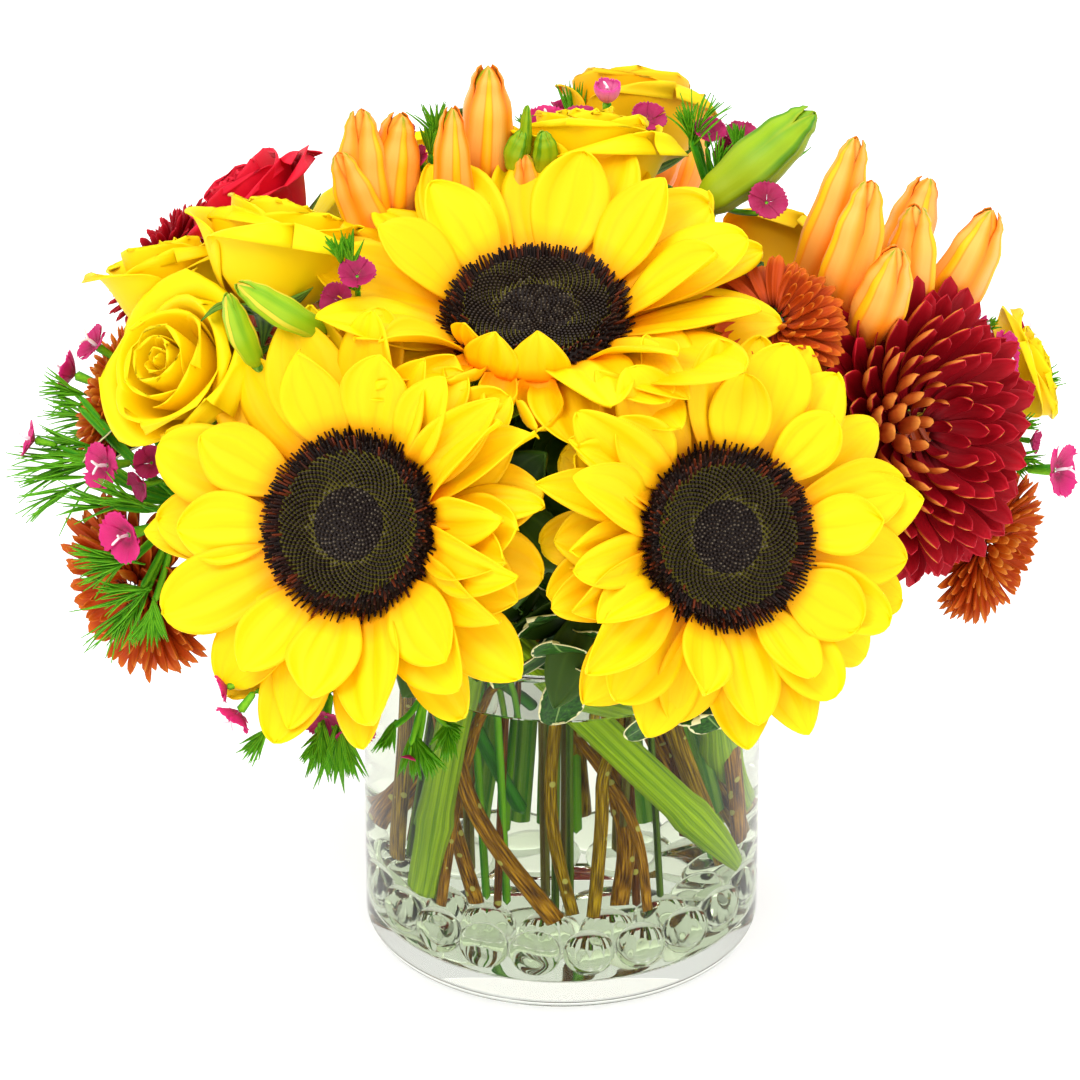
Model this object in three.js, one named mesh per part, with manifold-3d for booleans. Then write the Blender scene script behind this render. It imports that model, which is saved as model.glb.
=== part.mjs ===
// Sunflowers in a clear cylinder vase, with roses, chrysanthemums, lily buds, dianthus and
// pittosporum. Millimetres, +Z up, origin at the centre of the vase's flat base, the front
// of the bouquet towards -Y. Azimuth 0 looks out to the front and 90 to +X.
import * as THREE from "three";
import { mergeVertices } from "three/addons/utils/BufferGeometryUtils.js";
import Module from "manifold-3d";

const wasm = await Module();
wasm.setup();

// ---- driving dimensions ----
const clearance = 0.35; // between one piece and the next
const vaseRadius = 63.5;
const vaseHeight = 121;
const vaseWall = 3.5;
const vaseFloor = 9;
const vaseSides = 28;
const waterLevel = 104;
const waterSides = 18;
const marbleRadius = 7.9;
const marbleRings = {
  glass_marbles_outer: { ring: 50.9, count: 20, stations: 2 },
  glass_marbles_inner: { ring: 34.7, count: 13, stations: 2 },
};
const discDepth = 5;
const petalThickness = 1.1;
const petalLayers = [{ count: 11, tilt: 0, height: -2.4 }, { count: 9, tilt: 19, height: 0.4 }];
const bracts = 6; // behind each sunflower
const floretRadius = 9.4;

// each head: where its middle is, where it looks, its disc, how far its petals reach
const sunflowers = {
  left: {
    at: [-63, -92, 190], az: -24, el: 30, disc: 27.5, reach: 64, cup: [14, 0], seed: 3,
    stem: [[-32, -63, 150], [8, -44, 98], [48, -22, 33]], stemRadius: 5,
  },
  right: {
    at: [48, -94, 187], az: 20, el: 29, disc: 27, reach: 60, cup: [10, 0], seed: 5,
    stem: [[40, -60, 152], [40, -22, 114], [34, 20, 33]], stemRadius: 4.6,
  },
  top: {
    at: [-8, -42, 238], az: -3, el: 69, disc: 28, reach: 67, cup: [24, 12], seed: 9,
    stem: [[-20, -46, 160], [-32, -43, 104], [-42, -32, 33]], stemRadius: 4.3,
  },
};
const roses = {
  rose_upper_left: { at: [-90, -18, 246], az: -50, el: 55, radius: 26, seed: 11, colour: "#ffd500" },
  rose_left: { at: [-122, 11, 220], az: -80, el: 42, radius: 24, seed: 12, colour: "#ffd800" },
  rose_lower_left: { at: [-119, -36, 211], az: -62, el: 30, radius: 26, seed: 13, colour: "#ffd900" },
  rose_top: { at: [20, 32, 250], az: 10, el: 62, radius: 27, seed: 14, colour: "#ffd400" },
  rose_gold: { at: [17, 82, 244], az: 170, el: 55, radius: 28, seed: 15, colour: "#ffb900" },
  rose_red: { at: [-97, 42, 232], az: -110, el: 52, radius: 24, seed: 16, colour: "#e8112d" },
  rose_right: { at: [143, 28, 181], az: 98, el: 20, radius: 21, seed: 17, colour: "#ffd21c" },
  rose_back_left: { at: [-50, 100, 208], az: -150, el: 36, radius: 28, seed: 18, colour: "#ffd600" },
  rose_back_right: { at: [70, 98, 180], az: 146, el: 26, radius: 27, seed: 19, colour: "#ffb900" },
};
const bronze = "#b44b1e";
const wine = "#8c0f1e";
const chrysanthemums = {
  mum_burgundy: { at: [108, -32, 189], az: 62, el: 26, radius: 46, detail: 2, seed: 21, colour: wine },
  mum_bronze_top: { at: [64, -40, 232], az: 30, el: 55, radius: 21, detail: 1, seed: 22, colour: bronze },
  mum_bronze_right: { at: [136, 12, 128], az: 84, el: -4, radius: 24, detail: 1, seed: 23, colour: bronze },
  mum_bronze_low: { at: [-138, -22, 130], az: -78, el: -6, radius: 25, detail: 1, seed: 24, colour: bronze },
  mum_bronze_left: { at: [-140, 12, 180], az: -92, el: 18, radius: 22, detail: 1, seed: 25, colour: bronze },
  mum_wine_left: { at: [-126, 54, 206], az: -112, el: 32, radius: 22, detail: 1, seed: 26, colour: wine },
  mum_back: { at: [8, 122, 172], az: 178, el: 12, radius: 32, detail: 1, seed: 27, colour: wine },
  mum_back_left: { at: [-102, 88, 160], az: -132, el: 6, radius: 27, detail: 1, seed: 28, colour: bronze },
  mum_back_right: { at: [108, 78, 152], az: 128, el: 4, radius: 27, detail: 1, seed: 29, colour: bronze },
};
// each bud: [foot, tip, radius]; a hub that its spray grows from
const lilySprays = {
  lily_left: {
    hub: [-44, 8, 205], colour: "#ff8c1e",
    buds: [
      [[-54, 6, 230], [-62, 12, 279], 8], [[-50, 10, 228], [-50, 14, 277], 8.5],
      [[-48, 4, 226], [-69, 4, 268], 7],
    ],
  },
  lily_centre: {
    hub: [-22, 14, 208], colour: "#ffa028",
    buds: [
      [[-23, 16, 236], [-23, 25, 288], 8.5], [[-30, 8, 230], [-34, 5, 283], 6],
      [[-12, 10, 236], [-11, 12, 275], 5],
    ],
  },
  lily_green: { hub: [44, 8, 206], colour: "#9bc81e", buds: [[[54, 10, 232], [76, 20, 275], 7.5]] },
  lily_right: {
    hub: [84, 10, 186], colour: "#ffa028",
    buds: [
      [[72, -2, 220], [90, 0, 275], 7.5], [[80, -14, 214], [94, -12, 266], 8.5],
      [[96, 14, 206], [114, 34, 246], 8], [[90, -20, 214], [101, -34, 254], 8],
      [[100, -2, 206], [108, -2, 253], 8.5], [[108, 6, 202], [133, 10, 246], 8.5],
    ],
  },
  lily_pair: {
    hub: [-82, -46, 214], colour: "#aac31e",
    buds: [[[-92, -55, 228], [-99, -62, 253], 5], [[-80, -56, 230], [-95, -66, 254], 6]],
  },
  lily_back: {
    hub: [22, 92, 186], colour: "#ffa028",
    buds: [
      [[30, 106, 206], [36, 132, 238], 8], [[20, 112, 200], [12, 142, 230], 8],
      [[34, 116, 190], [44, 150, 214], 8],
    ],
  },
};
// each spray: its hub, where it looks, its florets and bracts
const dianthus = {
  dianthus_left: { at: [-132, -30, 168], az: -80, el: 8, florets: 2, spread: 34, seed: 31 },
  dianthus_low: { at: [-80, -98, 136], az: -38, el: -28, florets: 2, spread: 34, seed: 32 },
  dianthus_low_front: { at: [-44, -78, 118], az: -22, el: -48, florets: 1, spread: 26, seed: 33 },
  dianthus_middle: { at: [-64, -34, 238], az: -55, el: 62, florets: 1, spread: 24, seed: 34 },
  dianthus_crown_left: { at: [-38, 26, 246], az: -150, el: 72, florets: 0, spread: 26, seed: 35 },
  dianthus_crown: { at: [0, 52, 246], az: 160, el: 74, florets: 2, spread: 30, seed: 36 },
  dianthus_crown_right: { at: [50, 36, 244], az: 125, el: 68, florets: 2, spread: 26, seed: 37 },
  dianthus_right: { at: [128, 10, 194], az: 88, el: 24, florets: 3, spread: 34, seed: 38 },
  dianthus_back: { at: [-34, 112, 168], az: -165, el: 12, florets: 1, spread: 30, seed: 39 },
};
const pittosporum = {
  pittosporum_front: { at: [-2, -58, 146], az: 0, el: -42, leaves: 4, length: 24, spread: 34, seed: 41 },
  pittosporum_right: { at: [34, -58, 128], az: 24, el: -40, leaves: 4, length: 22, spread: 34, seed: 42 },
  pittosporum_left: { at: [-118, -4, 176], az: -84, el: 26, leaves: 3, length: 24, spread: 40, seed: 43 },
  pittosporum_centre: { at: [-8, -40, 168], az: -4, el: 28, leaves: 3, length: 28, spread: 30, seed: 44 },
  pittosporum_back: { at: [62, 96, 150], az: 150, el: -8, leaves: 3, length: 26, spread: 44, seed: 45 },
};
// the woody stems that cross at the front of the vase: foot, a point on the way, the place
// where each leaves the vase, radius
const frontStems = {
  rose_lower_left: { foot: [-2, -48, 28], through: [-26, -43, 66], neck: [-42, -28], radius: 3.4 },
  mum_bronze_top: { foot: [-36, -40, 28], through: [-27, -37, 80], neck: [-12, -38], radius: 2 },
  rose_left: { foot: [-24, -35, 28], through: [-31, -30, 58], neck: [-42, -16], radius: 2.8 },
  rose_top: { foot: [3, -43, 28], through: [-5, -32, 42], neck: [4, -18], radius: 2.2 },
  rose_upper_left: { foot: [9, -45, 28], through: [13, -33, 68], neck: [-18, -27], radius: 2.2 },
  mum_bronze_left: { foot: [25, -42, 28], through: [15, -31, 66], neck: [-30, -6], radius: 1.8 },
  rose_red: { foot: [16, -36, 28], through: [15, -24, 60], neck: [-10, -4], radius: 3 },
};
const footRing = 42; // the other stems stand in the half of the vase below their bloom
const neckRing = 27;
const lowNeck = { below: 140, ring: 46, height: 133 }; // for blooms that hang out over the rim
const neckHeight = 116;
const footHeight = 28.5;
const stemRadius = 2.6;
const lilyStem = { points: [[-30, -30, 112], [-24, -28, 90], [-10, -24, 56]], radii: [2, 2, 2], sides: 6 };

const finishes = {
  glass: new THREE.MeshStandardMaterial({ color: "#dfe8e2", roughness: 0.05, metalness: 0 }),
  water: new THREE.MeshStandardMaterial({ color: "#e6efe9", roughness: 0.05, metalness: 0 }),
  marble: new THREE.MeshStandardMaterial({ color: "#c9d6c8", roughness: 0.08, metalness: 0 }),
  petal: new THREE.MeshStandardMaterial({ color: "#ffdc00", roughness: 0.55, metalness: 0 }),
  seed: new THREE.MeshStandardMaterial({ color: "#2e1a10", roughness: 0.85, metalness: 0 }),
  stalk: new THREE.MeshStandardMaterial({ color: "#8fb82a", roughness: 0.6, metalness: 0 }),
  bark: new THREE.MeshStandardMaterial({ color: "#7a4a1e", roughness: 0.7, metalness: 0 }),
  leaf: new THREE.MeshStandardMaterial({ color: "#3f7a24", roughness: 0.5, metalness: 0 }),
  magenta: new THREE.MeshStandardMaterial({ color: "#c4106a", roughness: 0.6, metalness: 0 }),
};

// ---- helpers ----
function radians(degrees) {
  return THREE.MathUtils.degToRad(degrees);
}

function seeded(seed) {
  let state = seed * 7919 + 17;
  return () => {
    state = (state * 1664525 + 1013904223) % 4294967296;
    return state / 4294967296;
  };
}

// the direction that an azimuth and an elevation look in
function heading(azimuth, elevation) {
  const flat = Math.cos(radians(elevation));
  const a = radians(azimuth);
  return new THREE.Vector3(Math.sin(a) * flat, -Math.cos(a) * flat, Math.sin(radians(elevation)));
}

// the matrix that sets a bloom made round +Z at its place, looking where it looks
function stance({ at, az, el }) {
  const out = heading(az, el);
  const side = new THREE.Vector3(Math.cos(radians(az)), Math.sin(radians(az)), 0);
  const over = new THREE.Vector3().crossVectors(out, side);
  return new THREE.Matrix4().makeBasis(side, over, out).setPosition(...at);
}

// a turn about Z, then a step along it
function turned(degrees, height = 0) {
  return new THREE.Matrix4().makeRotationZ(radians(degrees)).setPosition(0, 0, height);
}

function solidOf(geometry) {
  const bare = new THREE.BufferGeometry();
  bare.setAttribute("position", geometry.getAttribute("position").clone());
  if (geometry.getIndex()) {
    bare.setIndex(geometry.getIndex());
  }
  const closed = mergeVertices(bare, 1e-4);
  const vertProperties = new Float32Array(closed.getAttribute("position").array);
  const triVerts = new Uint32Array(closed.getIndex().array);
  return new wasm.Manifold(new wasm.Mesh({ numProp: 3, vertProperties, triVerts }));
}

function fuse(geometries) {
  let solids = geometries.map(solidOf);
  while (solids.length > 1) {
    const joined = [];
    for (let i = 0; i + 1 < solids.length; i += 2) {
      joined.push(solids[i].add(solids[i + 1]));
    }
    if (solids.length % 2 === 1) {
      joined.push(solids[solids.length - 1]);
    }
    solids = joined;
  }
  return solids[0];
}

// the largest body, so that no crumb and no sealed hollow is kept
function mainBody(solid) {
  const bodies = solid.decompose();
  bodies.sort((a, b) => b.volume() - a.volume());
  return bodies[0];
}

// A cone or cylinder whose rings are set one by one: place(ring, u, v) gives each point,
// where u and v run round the ring from -1 to 1.
function loft(sides, rings, pointed, place) {
  const raw = pointed
    ? new THREE.ConeGeometry(1, 1, sides, rings)
    : new THREE.CylinderGeometry(1, 1, 1, sides, rings);
  const position = raw.getAttribute("position");
  for (let i = 0; i < position.count; i += 1) {
    const along = position.getY(i) + 0.5;
    const size = pointed ? Math.max(1 - along, 1e-6) : 1;
    const point = place(Math.round(along * rings), position.getX(i) / size, position.getZ(i) / size);
    position.setXYZ(i, point.x, point.y, point.z);
  }
  return raw;
}

// A petal, leaf or sepal that grows along +X with its upper face to +Z. Each station has a
// half width and a lift of its edges; each stretch after a station has its own slope and its
// share of the length. A grown copy has blunt edges, so that it holds the plain one.
function blade({ length, shares, widths, lifts, slopes, thickness = petalThickness, grow = 0 }) {
  const spine = [new THREE.Vector3()];
  const steps = slopes.map((slope) => heading(90, slope));
  steps.forEach((step, i) => spine.push(spine[i].clone().addScaledVector(step, length * shares[i])));
  spine[0].addScaledVector(steps[0], -grow);
  spine[steps.length].addScaledVector(steps[steps.length - 1], 3 * grow);
  return loft(grow ? 6 : 4, slopes.length, true, (ring, u, v) => {
    if (ring === slopes.length) {
      return spine[ring].clone();
    }
    const before = slopes[Math.max(ring - 1, 0)];
    const tilt = radians((before + slopes[ring]) / 2);
    const half = widths[ring] + 1.5 * grow;
    const lift = (lifts[ring] * half) / widths[ring];
    const across = grow ? u / Math.sin(Math.PI / 3) : u;
    const rise = (Math.abs(v) > 0.9 ? v * (thickness / 2 + grow) : 1.8 * v * grow) + Math.abs(across) * lift;
    const offset = new THREE.Vector3(-Math.sin(tilt) * rise, -across * half, Math.cos(tilt) * rise);
    return offset.add(spine[ring]);
  });
}

// A stem, bud or needle along a smooth curve, with a radius for each ring. A last radius of
// 0 makes a point.
function limb({ points, radii, sides, grow = 0 }) {
  const curve = new THREE.CatmullRomCurve3(points.map((p) => new THREE.Vector3(...p)));
  const rings = radii.length - 1;
  const frames = curve.computeFrenetFrames(rings, false);
  const pointed = radii[rings] === 0;
  return loft(sides, rings, pointed, (ring, u, v) => {
    const point = curve.getPointAt(ring / rings);
    const end = ring === 0 ? -grow : 0;
    const tip = ring === rings ? (pointed ? 3 * grow : grow) : 0;
    point.addScaledVector(frames.tangents[ring], end + tip);
    if (pointed && ring === rings) {
      return point;
    }
    const radius = radii[ring] + grow * 1.3;
    point.addScaledVector(frames.binormals[ring], u * radius);
    return point.addScaledVector(frames.normals[ring], v * radius);
  });
}

function ellipsoid(radius, height, across = 8, round = 5) {
  return new THREE.SphereGeometry(1, across, round).rotateX(Math.PI / 2).scale(radius, radius, height);
}

function revolved(profile, sides) {
  const outline = profile.map(([r, z]) => new THREE.Vector2(r, z));
  return new THREE.LatheGeometry(outline, sides).rotateX(Math.PI / 2);
}

// ---- the model ----
const bouquet = new THREE.Group();
const taken = [];

// Adds a piece where nothing stands yet, and books the room that it fills.
function addPiece(name, solid, finish, room) {
  let shape = solid;
  for (const other of taken) {
    shape = shape.subtract(other);
  }
  const mesh = mainBody(shape).getMesh();
  const geometry = new THREE.BufferGeometry();
  geometry.setAttribute("position", new THREE.BufferAttribute(mesh.vertProperties, 3));
  geometry.setIndex(new THREE.BufferAttribute(mesh.triVerts, 1));
  geometry.computeBoundingBox();
  const middle = geometry.boundingBox.getCenter(new THREE.Vector3());
  geometry.translate(-middle.x, -middle.y, -middle.z);
  const piece = new THREE.Mesh(geometry, finish);
  piece.name = name;
  piece.position.copy(middle);
  bouquet.add(piece);
  if (room) {
    taken.push(room);
  }
}

function tinted(finish, colour) {
  const own = finish.clone();
  own.color.set(colour);
  return own;
}

function vase(grow = 0) {
  const out = vaseRadius + grow;
  const inside = vaseRadius - vaseWall - grow;
  const floor = vaseFloor + grow;
  const top = vaseHeight + grow;
  const profile = [
    [0, -grow], [out - 5, -grow], [out - 1.3, 1.6 - grow], [out, 5.5], [out, top - 1], [out - 1.2, top],
    [inside, top - 1], [inside, floor + 3.5], [inside - 3.5, floor], [0, floor],
  ];
  return revolved(profile, vaseSides);
}

// ---- sunflower ----
function sunflowerDisc({ disc }, grow = 0) {
  const rim = disc + grow;
  const dome = [[0.88, 0.2], [0.74, 0.6], [0.58, -0.4], [0.4, -1.2], [0.2, -2.2], [0, -2.4]];
  const upper = dome.map(([share, step]) => [disc * share, discDepth + step]);
  const profile = [[0, -2 - grow], [rim - 1, -2 - grow], [rim, 1.4], ...upper];
  const raw = revolved(profile, 16);
  const position = raw.getAttribute("position");
  for (let i = 0; i < position.count; i += 1) {
    const x = position.getX(i);
    const y = position.getY(i);
    const z = position.getZ(i);
    const radius = Math.hypot(x, y);
    if (z < 1.5 || radius < 1) {
      position.setZ(i, z + (z > 1 ? grow : 0));
      continue;
    }
    const beat = Math.cos(Math.atan2(y, x) * 8 + (radius / disc) * 5 * Math.PI);
    const coarse = radius > disc * 0.7 ? 1.3 : 0.5;
    position.setZ(i, z + beat * coarse + grow);
  }
  return raw;
}

function sunflowerPetals({ disc, reach, cup, seed }, grow = 0) {
  const draw = seeded(seed);
  const inner = disc + 0.5 - grow;
  const outer = disc + 4 + grow;
  const low = -3.4 - grow;
  const high = 1.2 + grow;
  const ring = [[inner, low], [outer, low], [outer, high], [inner, high], [inner, low]];
  const parts = [revolved(ring, 15)];
  for (const layer of petalLayers) {
    for (let i = 0; i < layer.count; i += 1) {
      const angle = ((i + (layer.tilt ? 0.5 : 0)) / layer.count) * 360 + (draw() - 0.5) * 7;
      const long = (reach - disc - 3) * (layer.tilt ? 0.92 : 1) * (0.93 + 0.12 * draw());
      const half = reach * (0.18 + 0.03 * draw());
      const rise = cup[0] + cup[1] * Math.abs(Math.sin(radians(angle))) + layer.tilt + (draw() - 0.5) * 8;
      const hook = rise + (draw() - 0.35) * 26;
      const petal = blade({
        length: long, shares: [0.24, 0.34, 0.42], slopes: [rise * 0.6, rise, hook],
        widths: [2.7, half * 0.78, half], lifts: [0.3, 1, 1.8], grow,
      });
      petal.rotateX(radians(7 + 4 * draw())).translate(disc + 3, 0, layer.height);
      parts.push(petal.applyMatrix4(turned(angle)));
    }
  }
  return parts;
}

function sunflowerStalk({ at, az, el, disc, stem, stemRadius, seed }, grow = 0) {
  const draw = seeded(seed + 50);
  const place = stance({ at, az, el });
  const dish = [
    [0, -13 - grow], [disc * 0.6, -10 - grow], [disc, -5.5], [disc - 2, -3.6 + grow], [0, -3.6 + grow],
  ];
  const parts = [revolved(dish, 10)];
  for (let i = 0; i < bracts; i += 1) {
    const bract = blade({
      length: disc * 0.95, shares: [0.4, 0.6], slopes: [2, -8 + 14 * draw()],
      widths: [3, 5.4], lifts: [0.3, 0.8], thickness: 1.2, grow,
    });
    bract.translate(disc * 0.62, 0, -6.6).rotateY(radians(2));
    parts.push(bract.applyMatrix4(turned((i / bracts) * 360 + 8 * draw())));
  }
  parts.forEach((part) => part.applyMatrix4(place));
  const neck = new THREE.Vector3(0, 0, -9).applyMatrix4(place);
  const points = [neck.toArray(), ...stem];
  const wide = stemRadius;
  parts.push(limb({ points, radii: [wide * 0.8, wide * 0.9, wide, wide, wide], sides: 6, grow }));
  return parts;
}

// ---- rose: one turned form whose rims are its petals' edges, each rim waved into lobes ----
function roseBloom({ radius, seed }) {
  const draw = seeded(seed);
  const profile = [
    [0, -0.72], [0.42, -0.62], [0.8, -0.22], [1.02, 0.12], [0.84, -0.02], [0.86, 0.38], [0.64, 0.12],
    [0.58, 0.56], [0.4, 0.26], [0.32, 0.68], [0.15, 0.42], [0, 0.58],
  ];
  const bloom = revolved(profile, 11).scale(radius, radius, radius);
  const position = bloom.getAttribute("position");
  const phase = draw() * 6;
  for (let i = 0; i < position.count; i += 1) {
    const x = position.getX(i);
    const y = position.getY(i);
    const z = position.getZ(i);
    const share = Math.hypot(x, y) / radius;
    const wave = Math.cos(Math.atan2(y, x) * (share > 0.5 ? 5 : 3) + phase + share * 6);
    if (share > 0.25 && z > radius * 0.05) {
      position.setXYZ(i, x * (1 + 0.05 * wave), y * (1 + 0.05 * wave), z + wave * radius * 0.08);
    }
  }
  return [bloom];
}

// A ball of spikes: every face of a faceted ball is drawn out to a point, as far as
// spikeTip(direction) says.
function burst(ball, spikeTip) {
  const faces = ball.getAttribute("position");
  const corners = [];
  for (let i = 0; i < faces.count; i += 3) {
    const rim = [0, 1, 2].map((k) => new THREE.Vector3().fromBufferAttribute(faces, i + k));
    const tip = spikeTip(rim[0].clone().add(rim[1]).add(rim[2]).normalize());
    for (let k = 0; k < 3; k += 1) {
      for (const corner of [rim[k], rim[(k + 1) % 3], tip]) {
        corners.push(corner.x, corner.y, corner.z);
      }
    }
  }
  const closed = new THREE.BufferGeometry();
  closed.setAttribute("position", new THREE.Float32BufferAttribute(corners, 3));
  return closed;
}

// ---- chrysanthemum: petals from a flattened core, the inner ones bent in over the middle ----
function mumPetals({ radius, detail, seed }) {
  const draw = seeded(seed);
  const core = new THREE.IcosahedronGeometry(radius * 0.5, detail).scale(1, 1, 0.7);
  return [burst(core, (out) => {
    const long = radius * (out.z < -0.55 ? 0.6 : 0.92 + 0.12 * draw());
    const tip = out.clone().multiplyScalar(long);
    tip.x *= 1 - 0.2 * Math.max(out.z, 0);
    tip.y *= 1 - 0.2 * Math.max(out.z, 0);
    tip.z = tip.z * 0.72 + radius * 0.08;
    return tip;
  })];
}

// ---- lily buds: six-sided, fattest below the middle, on short stalks from one hub ----
function lilyBuds({ hub, buds }, grow = 0) {
  return buds.map(([foot, tip, radius]) => {
    const bow = new THREE.Vector3(...foot).lerp(new THREE.Vector3(...tip), 0.5);
    bow.addScaledVector(new THREE.Vector3(tip[0] - hub[0], tip[1] - hub[1], 0).normalize(), radius * 0.18);
    const shape = [1.7, radius * 0.5, radius, radius * 0.8, 0];
    return limb({ points: [hub, foot, bow.toArray(), tip], radii: shape, sides: 5, grow });
  });
}

// ---- dianthus: fringed funnels among needle bracts that burst from one head ----
function dianthusSpray({ at, az, el, florets, spread, seed }, grow = 0) {
  const draw = seeded(seed);
  const head = new THREE.IcosahedronGeometry(4 + grow, 0);
  const parts = [burst(head, (out) => {
    const long = out.z < -0.3 ? 5 : spread * (0.78 + 0.3 * draw());
    return out.clone().multiplyScalar(long + 2 * grow);
  })];
  for (let i = 0; i < florets; i += 1) {
    const turn = (i / florets) * 360 + 50 * draw();
    const lean = 40 + 28 * draw();
    const long = spread * (0.62 + 0.3 * draw());
    const funnel = new THREE.ConeGeometry(1, 1, 10, 1).rotateX(-Math.PI / 2);
    const position = funnel.getAttribute("position");
    for (let k = 0; k < position.count; k += 1) {
      const x = position.getX(k);
      const y = position.getY(k);
      const open = floretRadius * (Math.sin(Math.atan2(y, x) * 5) < 0 ? 0.74 : 1) + 2 * grow;
      const depth = (0.5 - position.getZ(k)) * (floretRadius + 2 * grow);
      position.setXYZ(k, x * open, y * open, long - depth + grow);
    }
    const calyx = limb({ points: [[0, 0, 0], [0, 0, long - 4]], radii: [1.7, 1.9], sides: 3, grow });
    for (const piece of [funnel, calyx]) {
      parts.push(piece.rotateY(radians(lean)).applyMatrix4(turned(turn)));
    }
  }
  parts.forEach((part) => part.applyMatrix4(stance({ at, az, el })));
  return parts;
}

// ---- pittosporum: blunt leaves round a short twig ----
function leafSprig({ at, az, el, leaves, length, spread, seed }, grow = 0) {
  const draw = seeded(seed);
  const twig = length * 0.9;
  const parts = [limb({ points: [[0, 0, -length], [0, 0, twig]], radii: [1.3, 1.1], sides: 4, grow })];
  for (let i = 0; i < leaves; i += 1) {
    const half = length * (0.33 + 0.05 * draw());
    const leaf = blade({
      length, shares: [0.56, 0.44], slopes: [44, 16 + 18 * draw()],
      widths: [1.4, half], lifts: [0.2, 1.4], thickness: 1, grow,
    });
    leaf.rotateY(radians(-22 + spread * 0.5)).translate(0, 0, twig * (0.1 + (0.8 * i) / leaves));
    parts.push(leaf.applyMatrix4(turned(i * 137.5 + 20 * draw())));
  }
  parts.forEach((part) => part.applyMatrix4(stance({ at, az, el })));
  return parts;
}

// ---- stems, marbles and water ----
function bloomFoot(bloom) {
  return new THREE.Vector3(...bloom.at).addScaledVector(heading(bloom.az, bloom.el), -bloom.radius * 0.25);
}

function frontStem(bloom, { foot, through, neck, radius }, grow = 0) {
  const points = [foot, through, [...neck, neckHeight], bloomFoot(bloom).toArray()];
  return limb({ points, radii: [radius, radius, radius, radius, radius * 0.8], sides: 4, grow });
}

// a stem that stands in the vase straight below its bloom, as far round as the bloom is
function ownStem(bloom, grow = 0) {
  const end = bloomFoot(bloom);
  const angle = Math.atan2(end.y, end.x);
  const neck = end.z < lowNeck.below ? lowNeck : { ring: neckRing, height: neckHeight };
  const points = [
    [Math.cos(angle) * footRing, Math.sin(angle) * footRing, footHeight],
    [Math.cos(angle) * neck.ring, Math.sin(angle) * neck.ring, neck.height],
    end.toArray(),
  ];
  return limb({ points, radii: [stemRadius, stemRadius, stemRadius * 0.8], sides: 4, grow });
}

// A ring of marbles that touch: a turned ring whose section swells and shrinks along it.
function marbleRing({ ring, count, stations }, grow = 0) {
  const profile = [0, 1, 2, 3, 4, 0].map((k) => {
    const turn = (k / 5) * 2 * Math.PI;
    return [ring + Math.cos(turn), Math.sin(turn)];
  });
  const raw = revolved(profile, count * stations);
  const position = raw.getAttribute("position");
  const height = vaseFloor + marbleRadius + clearance;
  for (let i = 0; i < position.count; i += 1) {
    const x = position.getX(i);
    const y = position.getY(i);
    const step = Math.round((Math.atan2(x, -y) / (2 * Math.PI)) * count * stations);
    const neck = ((step % stations) + stations) % stations === 0;
    const size = (neck ? 2.4 : marbleRadius) + grow;
    const reach = ring + (Math.hypot(x, y) - ring) * size;
    const share = reach / Math.hypot(x, y);
    position.setXYZ(i, x * share, y * share, position.getZ(i) * size + height);
  }
  return raw;
}

function water() {
  const radius = (vaseRadius - vaseWall) * Math.cos(Math.PI / vaseSides) - clearance;
  const bottom = vaseFloor + marbleRadius * 2 + 2.5;
  return revolved([[0, bottom], [radius, bottom], [radius, waterLevel], [0, waterLevel]], waterSides);
}

addPiece("vase", solidOf(vase()), finishes.glass, solidOf(vase(clearance)));
for (const [side, head] of Object.entries(sunflowers)) {
  const place = stance(head);
  const disc = fuse([sunflowerDisc(head).applyMatrix4(place)]);
  const discRoom = fuse([sunflowerDisc(head, clearance).applyMatrix4(place)]);
  addPiece(`sunflower_${side}_disc`, disc, finishes.seed, discRoom);
  const stalkRoom = fuse(sunflowerStalk(head, clearance));
  addPiece(`sunflower_${side}_stem`, fuse(sunflowerStalk(head)), finishes.stalk, stalkRoom);
}
for (const [side, head] of Object.entries(sunflowers)) {
  const place = stance(head);
  const petals = fuse(sunflowerPetals(head).map((petal) => petal.applyMatrix4(place)));
  const room = fuse(sunflowerPetals(head, clearance).map((petal) => petal.applyMatrix4(place)));
  addPiece(`sunflower_${side}_petals`, petals, finishes.petal, room);
}
for (const [name, spray] of Object.entries(lilySprays)) {
  const room = fuse(lilyBuds(spray, clearance));
  addPiece(name, fuse(lilyBuds(spray)), tinted(finishes.petal, spray.colour), room);
}
const blooms = { ...chrysanthemums, ...roses };
for (const [name, stem] of Object.entries(frontStems)) {
  const room = fuse([frontStem(blooms[name], stem, clearance)]);
  addPiece(`${name}_stem`, fuse([frontStem(blooms[name], stem)]), finishes.bark, room);
}
for (const [name, bloom] of Object.entries(blooms)) {
  const place = stance(bloom);
  const head = (name in roses ? roseBloom(bloom) : mumPetals(bloom)).map((part) => part.applyMatrix4(place));
  const stem = name in frontStems ? [] : [ownStem(bloom)];
  const round = ellipsoid(bloom.radius * 1.1, bloom.radius * 0.92, 12, 8).applyMatrix4(place);
  const stemRoom = name in frontStems ? [] : [ownStem(bloom, clearance)];
  addPiece(name, fuse([...head, ...stem]), tinted(finishes.petal, bloom.colour), fuse([round, ...stemRoom]));
}
for (const [name, spray] of Object.entries(dianthus)) {
  addPiece(name, fuse(dianthusSpray(spray)), finishes.magenta, fuse(dianthusSpray(spray, clearance)));
}
for (const [name, sprig] of Object.entries(pittosporum)) {
  addPiece(name, fuse(leafSprig(sprig)), finishes.leaf, fuse(leafSprig(sprig, clearance)));
}
const lilyStemRoom = fuse([limb({ ...lilyStem, grow: clearance })]);
addPiece("lily_stem", fuse([limb(lilyStem)]), finishes.stalk, lilyStemRoom);
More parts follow.
